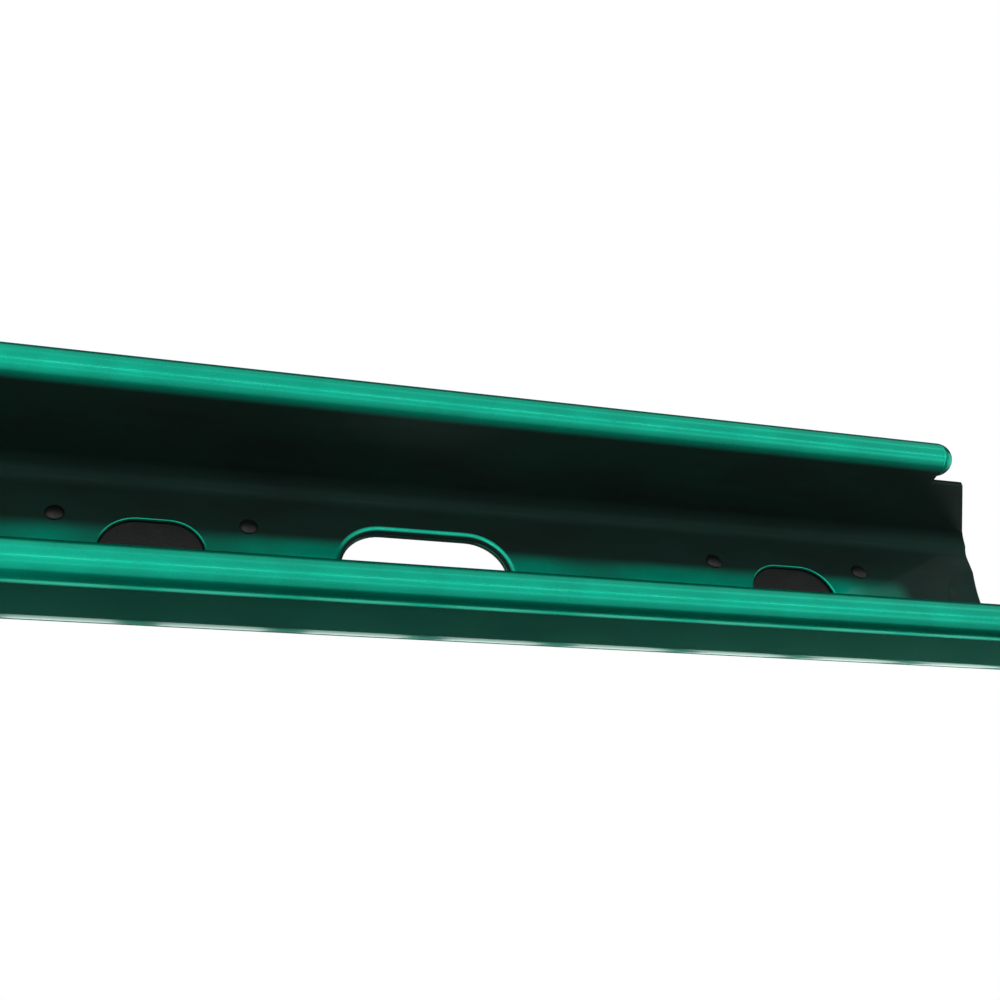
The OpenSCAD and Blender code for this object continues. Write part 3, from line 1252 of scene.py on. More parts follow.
    def sweep(self, side: Side) -> None:
        """Builds one wall with its bend and rim.

        Args:
            side: Which wall.
        """
        line = self.section()
        inner_rows: list[list[int]] = []
        outer_rows: list[list[int]] = []
        mirror = side.value
        for z, angle in self.stations():
            inset = self.cut_round * (1 - math.cos(angle))
            inner, outer = [], []
            for place, way, half in line:
                height = self.raked(place.y, z)
                at_step = abs(place.y - self.rake_end) < 2 * self.step_width
                lean = 1.0 if at_step and angle > 0 else 0.0
                for row, sign in ((inner, 1), (outer, -1)):
                    spot = place + way * sign * (half - inset)
                    normal = (
                        mirror * way.x * sign * math.cos(angle),
                        way.y * sign * math.cos(angle) + lean,
                        math.sin(angle),
                    )
                    row.append(
                        self.surface.point((mirror * spot.x, self.web + spot.y, height), normal)
                    )
            inner_rows.append(inner)
            outer_rows.append(outer)
        self.surface.rows(inner_rows)
        self.surface.rows(outer_rows)
        self.surface.strip(inner_rows[0], outer_rows[0])
        self.surface.strip(inner_rows[-1], outer_rows[-1])
        self.surface.strip([row[-1] for row in inner_rows], [row[-1] for row in outer_rows])

    # ---- the web and its slots

    def web_point(self, x: float, z: float, depth: float, normal: Sequence[float]) -> int:
        """Adds a point of the web.

        Args:
            x: Its place across.
            z: Its place along.
            depth: How far it lies behind the web's inner face.
            normal: Which way the surface faces there.

        Returns:
            The point's number.
        """
        return self.surface.point((x, self.web - depth, z), normal)

    def columns(self) -> list[float]:
        """Places across the flat of the web where panels meet along their ends."""
        reach = [self.flat * math.tan(a) for a in self.quarter()]
        return [-r for r in reversed(reach)] + reach[1:]

    def plain_panel(self, low: float, high: float) -> None:
        """Fills the web between two heights.

        Args:
            low: The lower one.
            high: The upper one.
        """
        for depth, facing in ((0.0, 1), (self.sheet, -1)):
            rows = [
                [self.web_point(x, z, depth, (0, facing, 0)) for x in self.columns()]
                for z in (low, high)
            ]
            self.surface.rows(rows)

    def foot_edge(self) -> None:
        """Rounds and closes the web's lower end."""
        r = self.cut_round
        sides = []
        for depth, facing in ((0.0, 1), (self.sheet, -1)):
            rows = []
            for angle in arc(0, 90, 3):
                inset = r * (1 - math.cos(angle))
                z = self.foot + r - r * math.sin(angle)
                normal = (0, facing * math.cos(angle), -math.sin(angle))
                rows.append(
                    [self.web_point(x, z, depth + facing * inset, normal) for x in self.columns()]
                )
            self.surface.rows(rows)
            sides.append(rows[-1])
        self.surface.strip(*sides)

    def lip_profile(self) -> list[tuple[float, float, float, float]]:
        """Profile of a long slot's pressed lip, from the inner face of the web to its front.

        Returns:
            Offset from the opening, depth, and the two parts of the normal.
        """
        r, e, s, f = self.lip_bend, self.cut_round, self.sheet, self.lip_fillet
        end = self.lip_bend + self.lip_land
        bend = [
            (r - r * math.sin(a), r - r * math.cos(a), -math.sin(a), math.cos(a))
            for a in arc(0, 90, 10)
        ]
        inner = [
            (e - e * math.cos(a), end - e + e * math.sin(a), -math.cos(a), -math.sin(a))
            for a in arc(0, 90, 3)
        ]
        outer = [
            (s - e + e * math.sin(a), end - e + e * math.cos(a), math.sin(a), -math.cos(a))
            for a in arc(0, 90, 3)
        ]
        root = [
            (s + f - f * math.cos(a), s + f - f * math.sin(a), math.cos(a), -math.sin(a))
            for a in arc(0, 90, 4)
        ]
        return bend + inner + outer + root

    def edge_profile(self) -> list[tuple[float, float, float, float]]:
        """Profile of a small slot's edge, in the same terms as the lip's."""
        r, e, s = self.small_edge, self.cut_round, self.sheet
        first = [
            (r - r * math.sin(a), r - r * math.cos(a), -math.sin(a), math.cos(a))
            for a in arc(0, 90, 5)
        ]
        last = [
            (e - e * math.cos(a), s - e + e * math.sin(a), -math.cos(a), -math.sin(a))
            for a in arc(0, 90, 3)
        ]
        return first + last

    def slot_panel(
        self,
        centre: float,
        straight: float,
        half_width: float,
        profile: Sequence[tuple[float, float, float, float]],
    ) -> None:
        """Builds the stretch of web round one slot.

        Args:
            centre: The slot's height.
            straight: Half the length of its straight sides.
            half_width: Half the width of its opening.
            profile: The edge's profile.
        """
        spokes = [(1, a) for a in arc(0, 180, self.steps_round_cap)]
        spokes += [(-1, a) for a in arc(180, 360, self.steps_round_cap)]
        rings = []
        border, back_border = (None, 0.0, 0.0, 1.0), (None, self.sheet, 0.0, -1.0)
        for offset, depth, out, facing in (border, *profile, back_border):
            ring = []
            for end, angle in spokes:
                radius = self.reach(angle) if offset is None else half_width + offset
                x = radius * math.cos(angle)
                z = centre + end * straight + radius * math.sin(angle)
                normal = (out * math.cos(angle), facing, out * math.sin(angle))
                ring.append(self.web_point(x, z, depth, normal))
            rings.append(ring)
        self.surface.rows(rings, closed=True)

    def reach(self, angle: float) -> float:
        """Distance from a panel's middle to its square edge.

        Args:
            angle: The way that is looked.

        Returns:
            The distance.
        """
        return self.flat / max(abs(math.cos(angle)), abs(math.sin(angle)))

    def dimple(self, radius: float) -> tuple[float, float]:
        """Shape of the pressed dimple.

        Args:
            radius: Distance from its middle.

        Returns:
            Depth there, and how fast it falls.
        """
        rise = self.dimple_depth * (1 - (radius / self.dimple_radius) ** 2)
        slope = -2 * self.dimple_depth * radius / self.dimple_radius**2
        soft = math.hypot(rise, self.dimple_blend)
        return 0.5 * (rise + soft), 0.5 * (1 + rise / soft) * slope

    def dimple_radii(self) -> list[float]:
        """Radii of the dimple's rings, closer together at its edge."""
        inner = [self.dimple_radius * i / 12 for i in range(12)]
        edge = [self.dimple_radius * s for s in self.dimple_edge]
        return inner + edge

    def top_panel(self) -> None:
        """Builds the web's upper end with its half-round dimple."""
        r = self.cut_round
        inner_top = self.top - r
        angles = arc(180, 360, self.steps_round_cap)
        edge_rows = []
        for base, facing in ((0.0, 1), (self.sheet, -1)):
            rings = []
            for radius in self.dimple_radii():
                depth, slope = self.dimple(radius)
                rings.append(
                    [
                        self.web_point(
                            radius * math.cos(a),
                            inner_top + radius * math.sin(a),
                            base + depth,
                            (slope * facing * math.cos(a), facing, slope * facing * math.sin(a)),
                        )
                        for a in angles
                    ]
                )
            border = []
            for a in angles:
                x, z = self.reach(a) * math.cos(a), inner_top + self.reach(a) * math.sin(a)
                border.append(self.web_point(x, z, base, (0, facing, 0)))
            rings.append(border)
            self.surface.rows(rings)
            across = [-self.flat, *(-x for x in reversed(self.dimple_radii()))]
            across += [*self.dimple_radii()[1:], self.flat]
            rows = []
            for angle in arc(0, 90, 3):
                inset = r * (1 - math.cos(angle))
                row = []
                for x in across:
                    inside = abs(x) < self.flat - MM
                    depth = self.dimple(abs(x))[0] if inside else 0.0
                    normal = (0, facing * math.cos(angle), math.sin(angle))
                    z = inner_top + r * math.sin(angle)
                    row.append(self.web_point(x, z, base + depth + facing * inset, normal))
                rows.append(row)
            self.surface.rows(rows)
            edge_rows.append(rows[-1])
        self.surface.strip(*edge_rows)

    def build_web(self) -> None:
        """Builds the flat of the web from the foot to the top."""
        self.foot_edge()
        long_straight = (self.long_length - self.long_width) / 2
        low = self.foot + self.cut_round
        for centre, straight in self.slot_plan():
            if straight == long_straight:
                self.slot_panel(centre, straight, self.long_width / 2, self.lip_profile())
            else:
                self.slot_panel(centre, straight, self.small_width / 2, self.edge_profile())
            self.plain_panel(low, centre - straight - self.flat)
            low = centre + straight + self.flat
        self.plain_panel(low, self.top - self.cut_round - self.flat)
        self.top_panel()

    def build(self) -> bpy.types.Object:
        """Builds the channel and hands it over."""
        for side in Side:
            self.sweep(side)
        self.build_web()
        piece = self.surface.object("channel_shell", self.paint)
        return delivered(piece, Body.POST, ["post_channel"])


@dataclass
class RimPlugs:
    """Domed plugs that close the ends of the rolled rims."""

    paint: bpy.types.Material
    seam: float = 0.25 * MM

    def profile(self, radius: float) -> list[Pair]:
        """Outline of a plug: a fine seam at its root, then the dome.

        Args:
            radius: The rim's radius.

        Returns:
            Pairs of radius and height.
        """
        seam = [(0.0, 0.0), (radius - self.seam, 0.0), (radius - self.seam, self.seam / 2)]
        dome = [(radius * math.cos(a), radius * math.sin(a)) for a in arc(4, 90, 16)]
        return seam + dome

    def build(self) -> None:
        """Builds the plugs at the top and at the foot."""
        for node, up in (("top_rim_plugs", 1), ("foot_rim_plugs", -1)):
            low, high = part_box(node)
            radius = (high.y - low.y) / 2
            z = high.z - radius if up > 0 else low.z + radius
            points = [(sign * (high.x - radius), middle(node).y, z) for sign in (-1, 1)]
            shape = turned(
                node + "_shape", self.profile(radius), [(0, 0, 0)], self.paint, up=(0, 0, up)
            )
            piece = repeated(node + "_pair", shape, points, self.paint)
            smooth(piece)
            delivered(piece, Body.POST, [node])


def smooth(piece: bpy.types.Object, angle: float = 40.0) -> bpy.types.Object:
    """Shades a mesh smooth, but for its sharp edges.

    Args:
        piece: The piece.
        angle: Edges that turn by more degrees than this stay sharp.

    Returns:
        The piece.
    """
    made = bmesh.new()
    made.from_mesh(piece.data)
    for face in made.faces:
        face.smooth = True
    for edge in made.edges:
        edge.smooth = edge.is_manifold and edge.calc_face_angle(0.0) < math.radians(angle)
    made.to_mesh(piece.data)
    made.free()
    return piece


# ---------------------------------------------------------------- reflectors


@dataclass
class Reflector:
    """One reflector: gasket, housing, prism plate, lens, bezel and rivets."""

    name: str
    plastic: bpy.types.Material
    rubber: bpy.types.Material
    rivet: bpy.types.Material
    prism: bpy.types.Material
    amber: bpy.types.Material
    prism_pitch: float = 3.2 * MM
    prism_depth: float = 0.9 * MM
    prism_margin: float = 0.9
    prism_radius: float = 0.56
    thin_edge: float = 0.2 * MM
    housing_edge: float = 0.5 * MM
    bezel_edge: float = 0.6 * MM
    lens_edge: float = 0.7 * MM
    rivet_head: float = 4.5 * MM
    rivet_tail: float = 3.2 * MM
    rivet_shank: float = 2.4 * MM
    head_face: float = 0.8
    head_edge: float = 0.5 * MM
    head_thickness: float = 1.2 * MM

    def build(self) -> None:
        """Builds the six pieces."""
        plain = (
            ("gasket", self.rubber, Slot.RUBBER, self.thin_edge),
            ("housing", self.plastic, Slot.PLASTIC, self.housing_edge),
            ("bezel", self.plastic, Slot.PLASTIC, self.bezel_edge),
            ("lens", self.amber, Slot.LENS, self.lens_edge),
            ("prism_plate", self.prism, Slot.PRISM, self.thin_edge),
        )
        for part, material, slot, edge in plain:
            node = f"{self.name}_{part}"
            delivered(softened(node, material, edge), Body.POST, [node])
        self.build_prisms()
        self.build_rivets()

    def build_prisms(self) -> None:
        """Sets rows of three-sided prisms on the front of the prism plate."""
        low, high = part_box(f"{self.name}_prism_plate")
        margin = self.prism_pitch * self.prism_margin
        row_rise = self.prism_pitch * math.sqrt(3) / 2
        growth = Growth(f"{self.name}_prism_tree")
        pitch = growth.take("Pitch", self.prism_pitch)
        depth = growth.take("Depth", self.prism_depth)
        cone = growth.node(
            "GeometryNodeMeshCone",
            {"fill_type": "NONE"},
            {
                "Vertices": 6,
                "Radius Top": 0.0,
                "Radius Bottom": growth.math("MULTIPLY", pitch, self.prism_radius),
                "Depth": depth,
            },
        )
        laid = growth.node(
            "GeometryNodeInstanceOnPoints",
            inputs={
                "Points": growth.entry.outputs["Geometry"],
                "Instance": cone.outputs["Mesh"],
                "Rotation": (math.radians(90), 0, 0),
            },
        )
        columns = int((high.x - low.x - 2 * margin) / self.prism_pitch)
        rows = int((high.z - low.z - 2 * margin) / row_rise)
        centre = middle(f"{self.name}_prism_plate")
        points = []
        for row in range(-(rows // 2), rows // 2 + 1):
            shift = 0.5 * (row % 2)
            for column in range(-(columns // 2), columns // 2 + 1 - row % 2):
                x = centre.x + (column + shift) * self.prism_pitch
                points.append((x, low.y, centre.z + row * row_rise))
        seed = lines_of(f"{self.name}_prism_field", [[place] for place in points])
        piece = growth.grown(laid.outputs[0], seed, self.prism)
        delivered(piece, Body.POST)

    def build_rivets(self) -> None:
        """Sets four rivets with a domed tail inside the channel and a flat head in the housing."""
        node = f"{self.name}_rivets"
        low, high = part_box(node)
        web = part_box("key_block")[1].y
        head, tail, shank = self.rivet_head, self.rivet_tail, self.rivet_shank
        front = low.y - web
        tail_rise = high.y - web
        profile = [
            (0.0, front),
            (head * self.head_face, front),
            (head, front + self.head_edge),
            (head, front + self.head_thickness),
            (shank, front + self.head_thickness),
            (shank, 0.0),
            (tail, 0.0),
        ]
        profile += [(tail * math.cos(a), tail_rise * math.sin(a)) for a in arc(12, 90, 8)]
        reach_x = (high.x - low.x) / 2 - head
        reach_z = (high.z - low.z) / 2 - head
        centre = middle(node)
        points = [
            (centre.x + across * reach_x, web, centre.z + along * reach_z)
            for across in (-1, 1)
            for along in (-1, 1)
        ]
        shape = turned(node + "_shape", profile, [(0, 0, 0)], self.rivet, steps=32)
        piece = smooth(repeated(node + "_set", shape, points, self.rivet), 30)
        delivered(piece, Body.POST, [node])


# ---------------------------------------------------------------- fasteners


@dataclass
class ClampSet:
    """One bolt with its nut, washers and plates."""

    name: str
    body: Body
    zinc: bpy.types.Material
    galvanised: bpy.types.Material
    plates: tuple[str, ...]
    blocks: tuple[str, ...]
    plate_edge: float = 0.5 * MM
    block_edge: float = 0.3 * MM
    bolt_radius: float = 6.0 * MM
    head_height: float = 7.5 * MM
    plain_shank: float = 6.0 * MM
    pitch: float = 1.75 * MM
    rows_per_turn: int = 8
    thread_depth: float = 0.95 * MM
    groove_slope: float = 1.25
    tip_length: float = 1.2 * MM
    tip_depth: float = 1.1
    face_share: float = 0.475
    face_slope: float = math.tan(math.radians(30))
    bore_chamfer: float = 0.8 * MM
    washer_play: float = 0.5 * MM
    washer_thickness: float = 2.5 * MM
    washer_edge: float = 0.35 * MM
    sharp: float = 24.0
    steps: int = 72

    def build(self) -> None:
        """Builds the whole set."""
        for node in self.plates:
            piece = softened(node, self.galvanised, self.plate_edge)
            delivered(piece, self.body, [node])
        for node in self.blocks:
            delivered(softened(node, self.zinc, self.block_edge), self.body, [node])
        self.build_bolt()
        self.build_nut()
        self.build_washers()

    def angles(self) -> list[float]:
        """Angles of the points of a ring."""
        return [2 * math.pi * i / self.steps for i in range(self.steps)]

    def hexagon(self, flats: float) -> list[float]:
        """Distances from the middle of a hexagon to its sides.

        Args:
            flats: Distance between opposite sides.

        Returns:
            The distance for each angle of a ring.
        """
        sixth = math.pi / 3
        turns = [(angle + sixth / 2) % sixth - sixth / 2 for angle in self.angles()]
        return [flats / 2 / math.cos(turn) for turn in turns]

    def ring(
        self, made: bmesh.types.BMesh, centre: Vector, radii: Radii, heights: Radii
    ) -> list[bmesh.types.BMVert]:
        """Adds a ring of points round a bolt's axis.

        Args:
            made: The mesh.
            centre: A point on the axis.
            radii: Radius, one for all angles or one for each.
            heights: Place along Y, one for all angles or one for each.

        Returns:
            The points.
        """
        if isinstance(radii, float):
            radii = [radii] * self.steps
        if isinstance(heights, float):
            heights = [heights] * self.steps
        points = []
        for angle, radius, height in zip(self.angles(), radii, heights):
            x = centre.x + radius * math.cos(angle)
            z = centre.z + radius * math.sin(angle)
            points.append(made.verts.new((x, height, z)))
        return points

    def finished(
        self, made: bmesh.types.BMesh, rings: Sequence[list[bmesh.types.BMVert]], node: str
    ) -> None:
        """Joins rings of equal length by quads and hands the piece over.

        Args:
            made: The mesh.
            rings: The rings, from end to end.
            node: The node that the piece stands for.
        """
        for low, high in zip(rings, rings[1:]):
            for i in range(len(low)):
                j = (i + 1) % len(low)
                made.faces.new((low[i], low[j], high[j], high[i]))
        if rings[0] is not rings[-1]:
            made.faces.new(rings[0])
            made.faces.new(rings[-1])
        bmesh.ops.recalc_face_normals(made, faces=made.faces)
        piece = from_bmesh(made, node + "_piece", self.zinc, self.sharp)
        delivered(piece, self.body, [node])

    def thread(self, angle: float, rise: float) -> float:
        """Shape of the thread.

        Args:
            angle: Angle round the axis.
            rise: Height over the plain shank.

        Returns:
            The bolt's radius there.
        """
        phase = (rise / self.pitch - angle / (2 * math.pi)) % 1.0
        groove = max(0.0, 1 - abs(2 * phase - 1) * self.groove_slope)
        run_in = min(1.0, rise / self.pitch)
        return self.bolt_radius - self.thread_depth * groove * run_in

    def build_bolt(self) -> None:
        """Builds the bolt: chamfered head, plain shank and rolled thread."""
        node = f"{self.name}_bolt"
        low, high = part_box(node)
        centre = middle(node)
        sides = self.hexagon(high.z - low.z)
        face = (high.z - low.z) * self.face_share
        head = low.y + self.head_height
        plain = head + self.plain_shank
        made = bmesh.new()
        chamfer = [low.y + (side - face) * self.face_slope for side in sides]
        shape: list[tuple[Radii, Radii]] = [
            (face, low.y),
            (sides, chamfer),
            (sides, head),
            (self.bolt_radius, head),
            (self.bolt_radius, plain),
        ]
        row = self.pitch / self.rows_per_turn
        for i in range(1, int((high.y - self.tip_length - plain) / row) + 1):
            y = plain + row * i
            shape.append(([self.thread(a, y - plain) for a in self.angles()], y))
        shape.append((self.bolt_radius - self.thread_depth * self.tip_depth, high.y))
        self.finished(made, [self.ring(made, centre, *place) for place in shape], node)

    def build_nut(self) -> None:
        """Builds the nut, chamfered on both faces."""
        node = f"{self.name}_nut"
        low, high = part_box(node)
        centre = middle(node)
        sides = self.hexagon(high.z - low.z)
        face = (high.z - low.z) * self.face_share
        bore, mouth = self.bolt_radius, self.bolt_radius + self.bore_chamfer
        made = bmesh.new()
        shape: list[tuple[Radii, Radii]] = [
            (bore, low.y + self.bore_chamfer),
            (mouth, low.y),
            (face, low.y),
            (sides, [low.y + (side - face) * self.face_slope for side in sides]),
            (sides, [high.y - (side - face) * self.face_slope for side in sides]),
            (face, high.y),
            (mouth, high.y),
            (bore, high.y - self.bore_chamfer),
        ]
        rings = [self.ring(made, centre, *place) for place in shape]
        self.finished(made, [*rings, rings[0]], node)

    def build_washers(self) -> None:
        """Builds the two washers with rounded edges."""
        node = f"{self.name}_washers"
        low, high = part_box(node)
        centre = middle(node)
        outer = (high.x - low.x) / 2
        bore = self.bolt_radius + self.washer_play
        thick, edge = self.washer_thickness, self.washer_edge
        profile = [
            (bore, edge),
            (bore + edge, 0.0),
            (outer - edge, 0.0),
            (outer, edge),
            (outer, thick - edge),
            (outer - edge, thick),
            (bore + edge, thick),
            (bore, thick - edge),
            (bore, edge),
        ]
        shape = turned(node + "_shape", profile, [(0, 0, 0)], self.zinc, steps=56)
        points = [(centre.x, low.y, centre.z), (centre.x, high.y - thick, centre.z)]
        piece = smooth(repeated(node + "_pair", shape, points, self.zinc), 30)
        delivered(piece, self.body, [node])


# ---------------------------------------------------------------- foot


@dataclass
class Foot:
    """Base plate, stub channel and gussets, welded together."""

    galvanised: bpy.types.Material
    plate_edge: float = 0.8 * MM
    stub_edge: float = 0.6 * MM
    stub_bend: float = 8.0 * MM
    weld_gap: float = 2.0 * MM
    bead: float = 2.6 * MM
    bead_step: float = 1.9 * MM
    bead_range: Pair = (0.86, 1.14)
    bead_seed: int = 7

    def build(self) -> None:
        """Builds the three plain pieces and their welds."""
        edges = {
            "base_plate": self.plate_edge,
            "foot_stub": self.stub_edge,
            "foot_gussets": self.stub_edge,
        }
        for node, edge in edges.items():
            delivered(softened(node, self.galvanised, edge), Body.FOOT, [node])
        self.build_welds()

    def stub_outline(self) -> list[Vector]:
        """Outer outline of the stub on the plate, from one leg's tip to the other's."""
        low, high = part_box("foot_stub")
        radius = self.stub_bend
        front = low.y + radius
        outline = [Vector((low.x, high.y, low.z)), Vector((low.x, front, low.z))]
        for x, start in ((low.x + radius, 190), (high.x - radius, 270)):
            outline += [
                Vector((x + radius * math.cos(a), front + radius * math.sin(a), low.z))
                for a in arc(start, start + 80, 6)
            ]
        return [*outline, Vector((high.x, front, low.z)), Vector((high.x, high.y, low.z))]

    def gusset_lines(self) -> list[list[Vector]]:
        """Lines where the gussets meet the plate and the stub."""
        low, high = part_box("foot_gussets")
        stub_low, stub_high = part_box("foot_stub")
        gap = self.weld_gap
        lines = []
        for y in (low.y, high.y):
            for wall, tip in ((stub_high.x, high.x), (stub_low.x, low.x)):
                inward = gap if tip > 0 else -gap
                lines.append([Vector((tip - inward, y, low.z)), Vector((wall + inward, y, low.z))])
                lines.append([Vector((wall, y, low.z + gap)), Vector((wall, y, high.z - gap))])
        return lines

    def build_welds(self) -> None:
        """Lays weld beads along all the joints of the foot."""
        lines = [self.stub_outline(), *self.gusset_lines()]
        seed = lines_of("foot_welds", lines)
        growth = Growth("weld_tree")
        step = growth.take("Step", self.bead_step)
        size = growth.take("Bead", self.bead)
        spread = growth.take("Seed", self.bead_seed)
        ball = growth.node("GeometryNodeMeshIcoSphere", inputs={"Radius": 1.0, "Subdivisions": 2})
        curves = growth.node(
            "GeometryNodeMeshToCurve", inputs={"Mesh": growth.entry.outputs["Geometry"]}
        )
        spaced = growth.node(
            "GeometryNodeCurveToPoints",
            {"mode": "LENGTH"},
            {"Curve": curves.outputs["Curve"], "Length": step},
        )
        least, most = (growth.math("MULTIPLY", size, share) for share in self.bead_range)
        random = growth.node(
            "FunctionNodeRandomValue",
            {"data_type": "FLOAT"},
            {"Seed": spread, 2: least, 3: most},
        )
        laid = growth.node(
            "GeometryNodeInstanceOnPoints",
            inputs={
                "Points": spaced.outputs["Points"],
                "Instance": ball.outputs["Mesh"],
                "Scale": random.outputs[1],
            },
        )
        piece = growth.grown(laid.outputs[0], seed, self.galvanised)
        smooth(piece, 80)
        delivered(piece, Body.FOOT)


# ---------------------------------------------------------------- studio


@dataclass(frozen=True)
class Panel:
    """A soft light panel.

    Fields:
        name: Its name.
        place: Where it hangs, in metres.
        aim: The point that it faces.
        size: Its width and height, in metres.
        radiance: How bright its face is.
    """

    name: str
    place: Place
    aim: Place
    size: Pair
    radiance: float

    def build(self) -> bpy.types.Object:
        """Hangs the panel."""
        lamp = bpy.data.lights.new(self.name, "AREA")
        lamp.shape = "RECTANGLE"
        lamp.size, lamp.size_y = self.size
        lamp.energy = self.radiance * math.pi * self.size[0] * self.size[1]
        made = linked(self.name, lamp)
        turn = (Vector(self.aim) - Vector(self.place)).to_track_quat("-Z", "Y")
        made.matrix_world = Matrix.Translation(self.place) @ turn.to_matrix().to_4x4()
        made.visible_camera = False
        return made


@dataclass(frozen=True)
class Studio:
    """Pale floor, soft panels and the camera.

    Fields:
        floor_side: Length of the floor's sides, in metres.
        floor_light: Strength of the floor's own light.
        floor_softness: Angle that this light seems to fill, in degrees.
        floor_lean: How far it leans about X and Y, in degrees.
        surround, surround_tint: What the paint mirrors beside the panels.
        backdrop: Strength of the white that the camera sees.
        soft_panels: Name, place from the subject, lift of the aim, size and radiance of each.
        strip_kinds: The same for each kind of strip, with its place aside and behind.
        strips, strip_start, strip_pitch: How many strips of a kind, and their heights.
        aim_drop: How far under the uppermost slot the panels aim.
        focal, sensor: The lens, in millimetres.
        clip: Nearest and farthest distance that is drawn, in metres.
        camera_place: Its place, from the uppermost slot.
        camera_right, camera_back: Its axes.
    """

    floor_side: float = 9.0
    floor_light: float = 3.2
    floor_softness: float = 50.0
    floor_lean: Pair = (12.0, -14.0)
    surround: float = 0.03
    surround_tint: Colour = (0.95, 1.0, 1.0)
    backdrop: float = 1.0
    soft_panels: tuple = (
        ("sky", (0.0, 1.7, 0.5), 0.2, (3.2, 3.6), 0.62),
        ("near_sky", (-1.6, 1.0, 0.4), 0.1, (1.6, 3.0), 0.48),
        ("far_sky", (1.7, 1.0, 0.4), 0.1, (1.6, 3.0), 0.55),
        ("top_fill", (0.0, 0.0, 1.9), 0.0, (1.6, 1.6), 0.8),
    )
    strip_kinds: tuple = (
        ("strip", (-0.25, 1.35), (0.10, 0.12), 3.0),
        ("front", (-0.34, -1.4), (0.92, 0.15), 2.8),
    )
    strips: int = 12
    strip_start: float = -0.6
    strip_pitch: float = 0.21
    aim_drop: float = 0.15
    focal: float = 45.42
    sensor: float = 36.0
    clip: Pair = (0.01, 100.0)
    camera_place: Place = (-0.26259, 0.35057, -0.25038)
    camera_right: Place = (-0.116444, 0.268096, 0.956329)
    camera_back: Place = (-0.620375, 0.732304, -0.280831)

    def build_floor(self) -> bpy.types.Object:
        """Lays the floor, with a soft light from above that falls on it evenly."""
        made = bmesh.new()
        bmesh.ops.create_grid(made, x_segments=4, y_segments=4, size=self.floor_side / 2)
        floor = from_bmesh(made, "studio_floor", StudioFloor().material())
        lamp = bpy.data.lights.new("floor_light", "SUN")
        lamp.energy = self.floor_light
        lamp.angle = math.radians(self.floor_softness)
        light = linked("floor_light", lamp)
        light.rotation_euler = (*(math.radians(lean) for lean in self.floor_lean), 0)
        self.limit(light, floor, "INCLUDE")
        return floor

    @staticmethod
    def limit(light: bpy.types.Object, piece: bpy.types.Object, state: str) -> None:
        """Makes a light fall on one piece only, or on everything but that piece.

        Args:
            light: The light.
            piece: The piece.
            state: INCLUDE or EXCLUDE.
        """
        group = bpy.data.collections.new(light.name + "_reach")
        group.objects.link(piece)
        light.light_linking.receiver_collection = group
        group.collection_objects[0].light_linking.link_state = state

    def build_world(self) -> None:
        """Makes a pale backdrop, with dim surroundings for what the paint mirrors."""
        world = bpy.data.worlds.new("studio")
        bpy.context.scene.world = world
        world.use_nodes = True
        tree = world.node_tree
        tree.nodes.clear()
        path = tree.nodes.new("ShaderNodeLightPath")
        mixed = tree.nodes.new("ShaderNodeMixShader")
        out = tree.nodes.new("ShaderNodeOutputWorld")
        looks = ((self.surround_tint, self.surround), ((1.0, 1.0, 1.0), self.backdrop))
        for place, (tint, strength) in enumerate(looks, start=1):
            background = tree.nodes.new("ShaderNodeBackground")
            background.inputs["Color"].default_value = (*tint, 1.0)
            background.inputs["Strength"].default_value = strength
            tree.links.new(background.outputs[0], mixed.inputs[place])
        tree.links.new(path.outputs["Is Camera Ray"], mixed.inputs[0])
        tree.links.new(mixed.outputs[0], out.inputs["Surface"])

    def build_lights(self, subject: Vector, floor: bpy.types.Object) -> None:
        """Hangs the panels round the post. They leave the floor alone.

        Args:
            subject: The point of the post that they hang round.
            floor: The floor.
        """
        x, y, z = subject
        panels = []
        for name, offset, lift, size, radiance in self.soft_panels:
            place = tuple(middle + aside for middle, aside in zip(subject, offset))
            panels.append(Panel(name, place, (x, y, z + lift), size, radiance))
        for i in range(self.strips):
            height = z + self.strip_start + self.strip_pitch * i
            for name, (aside, back), size, radiance in self.strip_kinds:
                place = (x + aside, y + back, height)
                panels.append(Panel(f"{name}_{i}", place, (x, y, height), size, radiance))
        for panel in panels:
            self.limit(panel.build(), floor, "EXCLUDE")

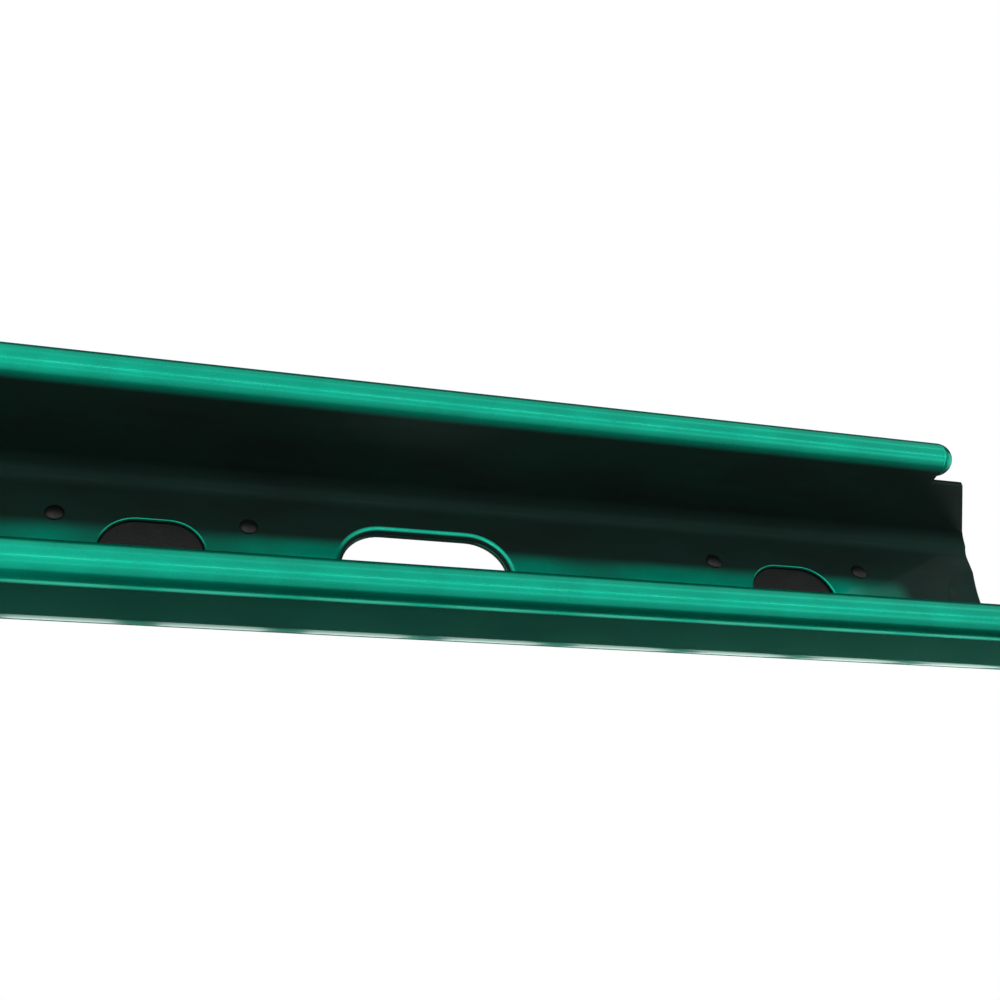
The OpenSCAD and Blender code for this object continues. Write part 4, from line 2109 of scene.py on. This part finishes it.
    def build_camera(self, first_slot: Vector) -> None:
        """Sets the camera for the close view into the channel.

        Args:
            first_slot: Middle of the uppermost slot on the web's inner face.
        """
        lens = bpy.data.cameras.new("close_view")
        lens.sensor_width = self.sensor
        lens.lens = self.focal
        lens.clip_start, lens.clip_end = self.clip
        camera = linked("close_view", lens)
        place = first_slot + Vector(self.camera_place)
        right = Vector(self.camera_right).normalized()
        back = Vector(self.camera_back).normalized()
        up = back.cross(right).normalized()
        right = up.cross(back)
        turn = Matrix((right, up, back)).transposed().to_4x4()
        camera.matrix_world = Matrix.Translation(place) @ turn
        bpy.context.scene.camera = camera


def main() -> None:
    """Builds every piece round the frame, then the studio."""
    logging.basicConfig(level=logging.INFO, format="%(name)s: %(message)s")
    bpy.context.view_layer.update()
    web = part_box("key_block")[1].y
    rim_height = middle("top_rim_plugs").y - web
    green = GreenPaint().material(web, rim_height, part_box("post_channel")[1].z)
    galvanised = Galvanised().material()
    zinc = ZincPlate().material()
    plastic = Moulded("black_housing_plastic").material()
    rubber = Moulded("gasket_rubber", roughness=0.68, depth=0.03 * MM).material()
    rivet = Moulded(
        "black_rivet_paint",
        colour=(0.001, 0.001, 0.001),
        grain=0.5 * MM,
        depth=0.002 * MM,
        roughness=0.36,
    )
    PostChannel(green).build()
    RimPlugs(green).build()
    for name in ("upper", "lower"):
        finishes = (rivet.material(), PrismSheet().material(), AmberLens().material())
        Reflector(name, plastic, rubber, *finishes).build()
    clamps = (
        ("upper_clamp", Body.FOOT, ("upper_clamp_plate",), ("guide_block",)),
        ("lower_clamp", Body.POST, ("lower_clamp_plate", "slide_plate"), ("key_block",)),
    )
    for name, body, plates, blocks in clamps:
        ClampSet(name, body, zinc, galvanised, plates, blocks).build()
    Foot(galvanised).build()
    first_slot = middle("upper_housing")
    first_slot.y = web
    studio = Studio()
    floor = studio.build_floor()
    studio.build_world()
    studio.build_lights(first_slot - Vector((0, 0, studio.aim_drop)), floor)
    studio.build_camera(first_slot)
    bpy.context.scene.view_settings.view_transform = "Standard"


if __name__ == "__main__":
    main()
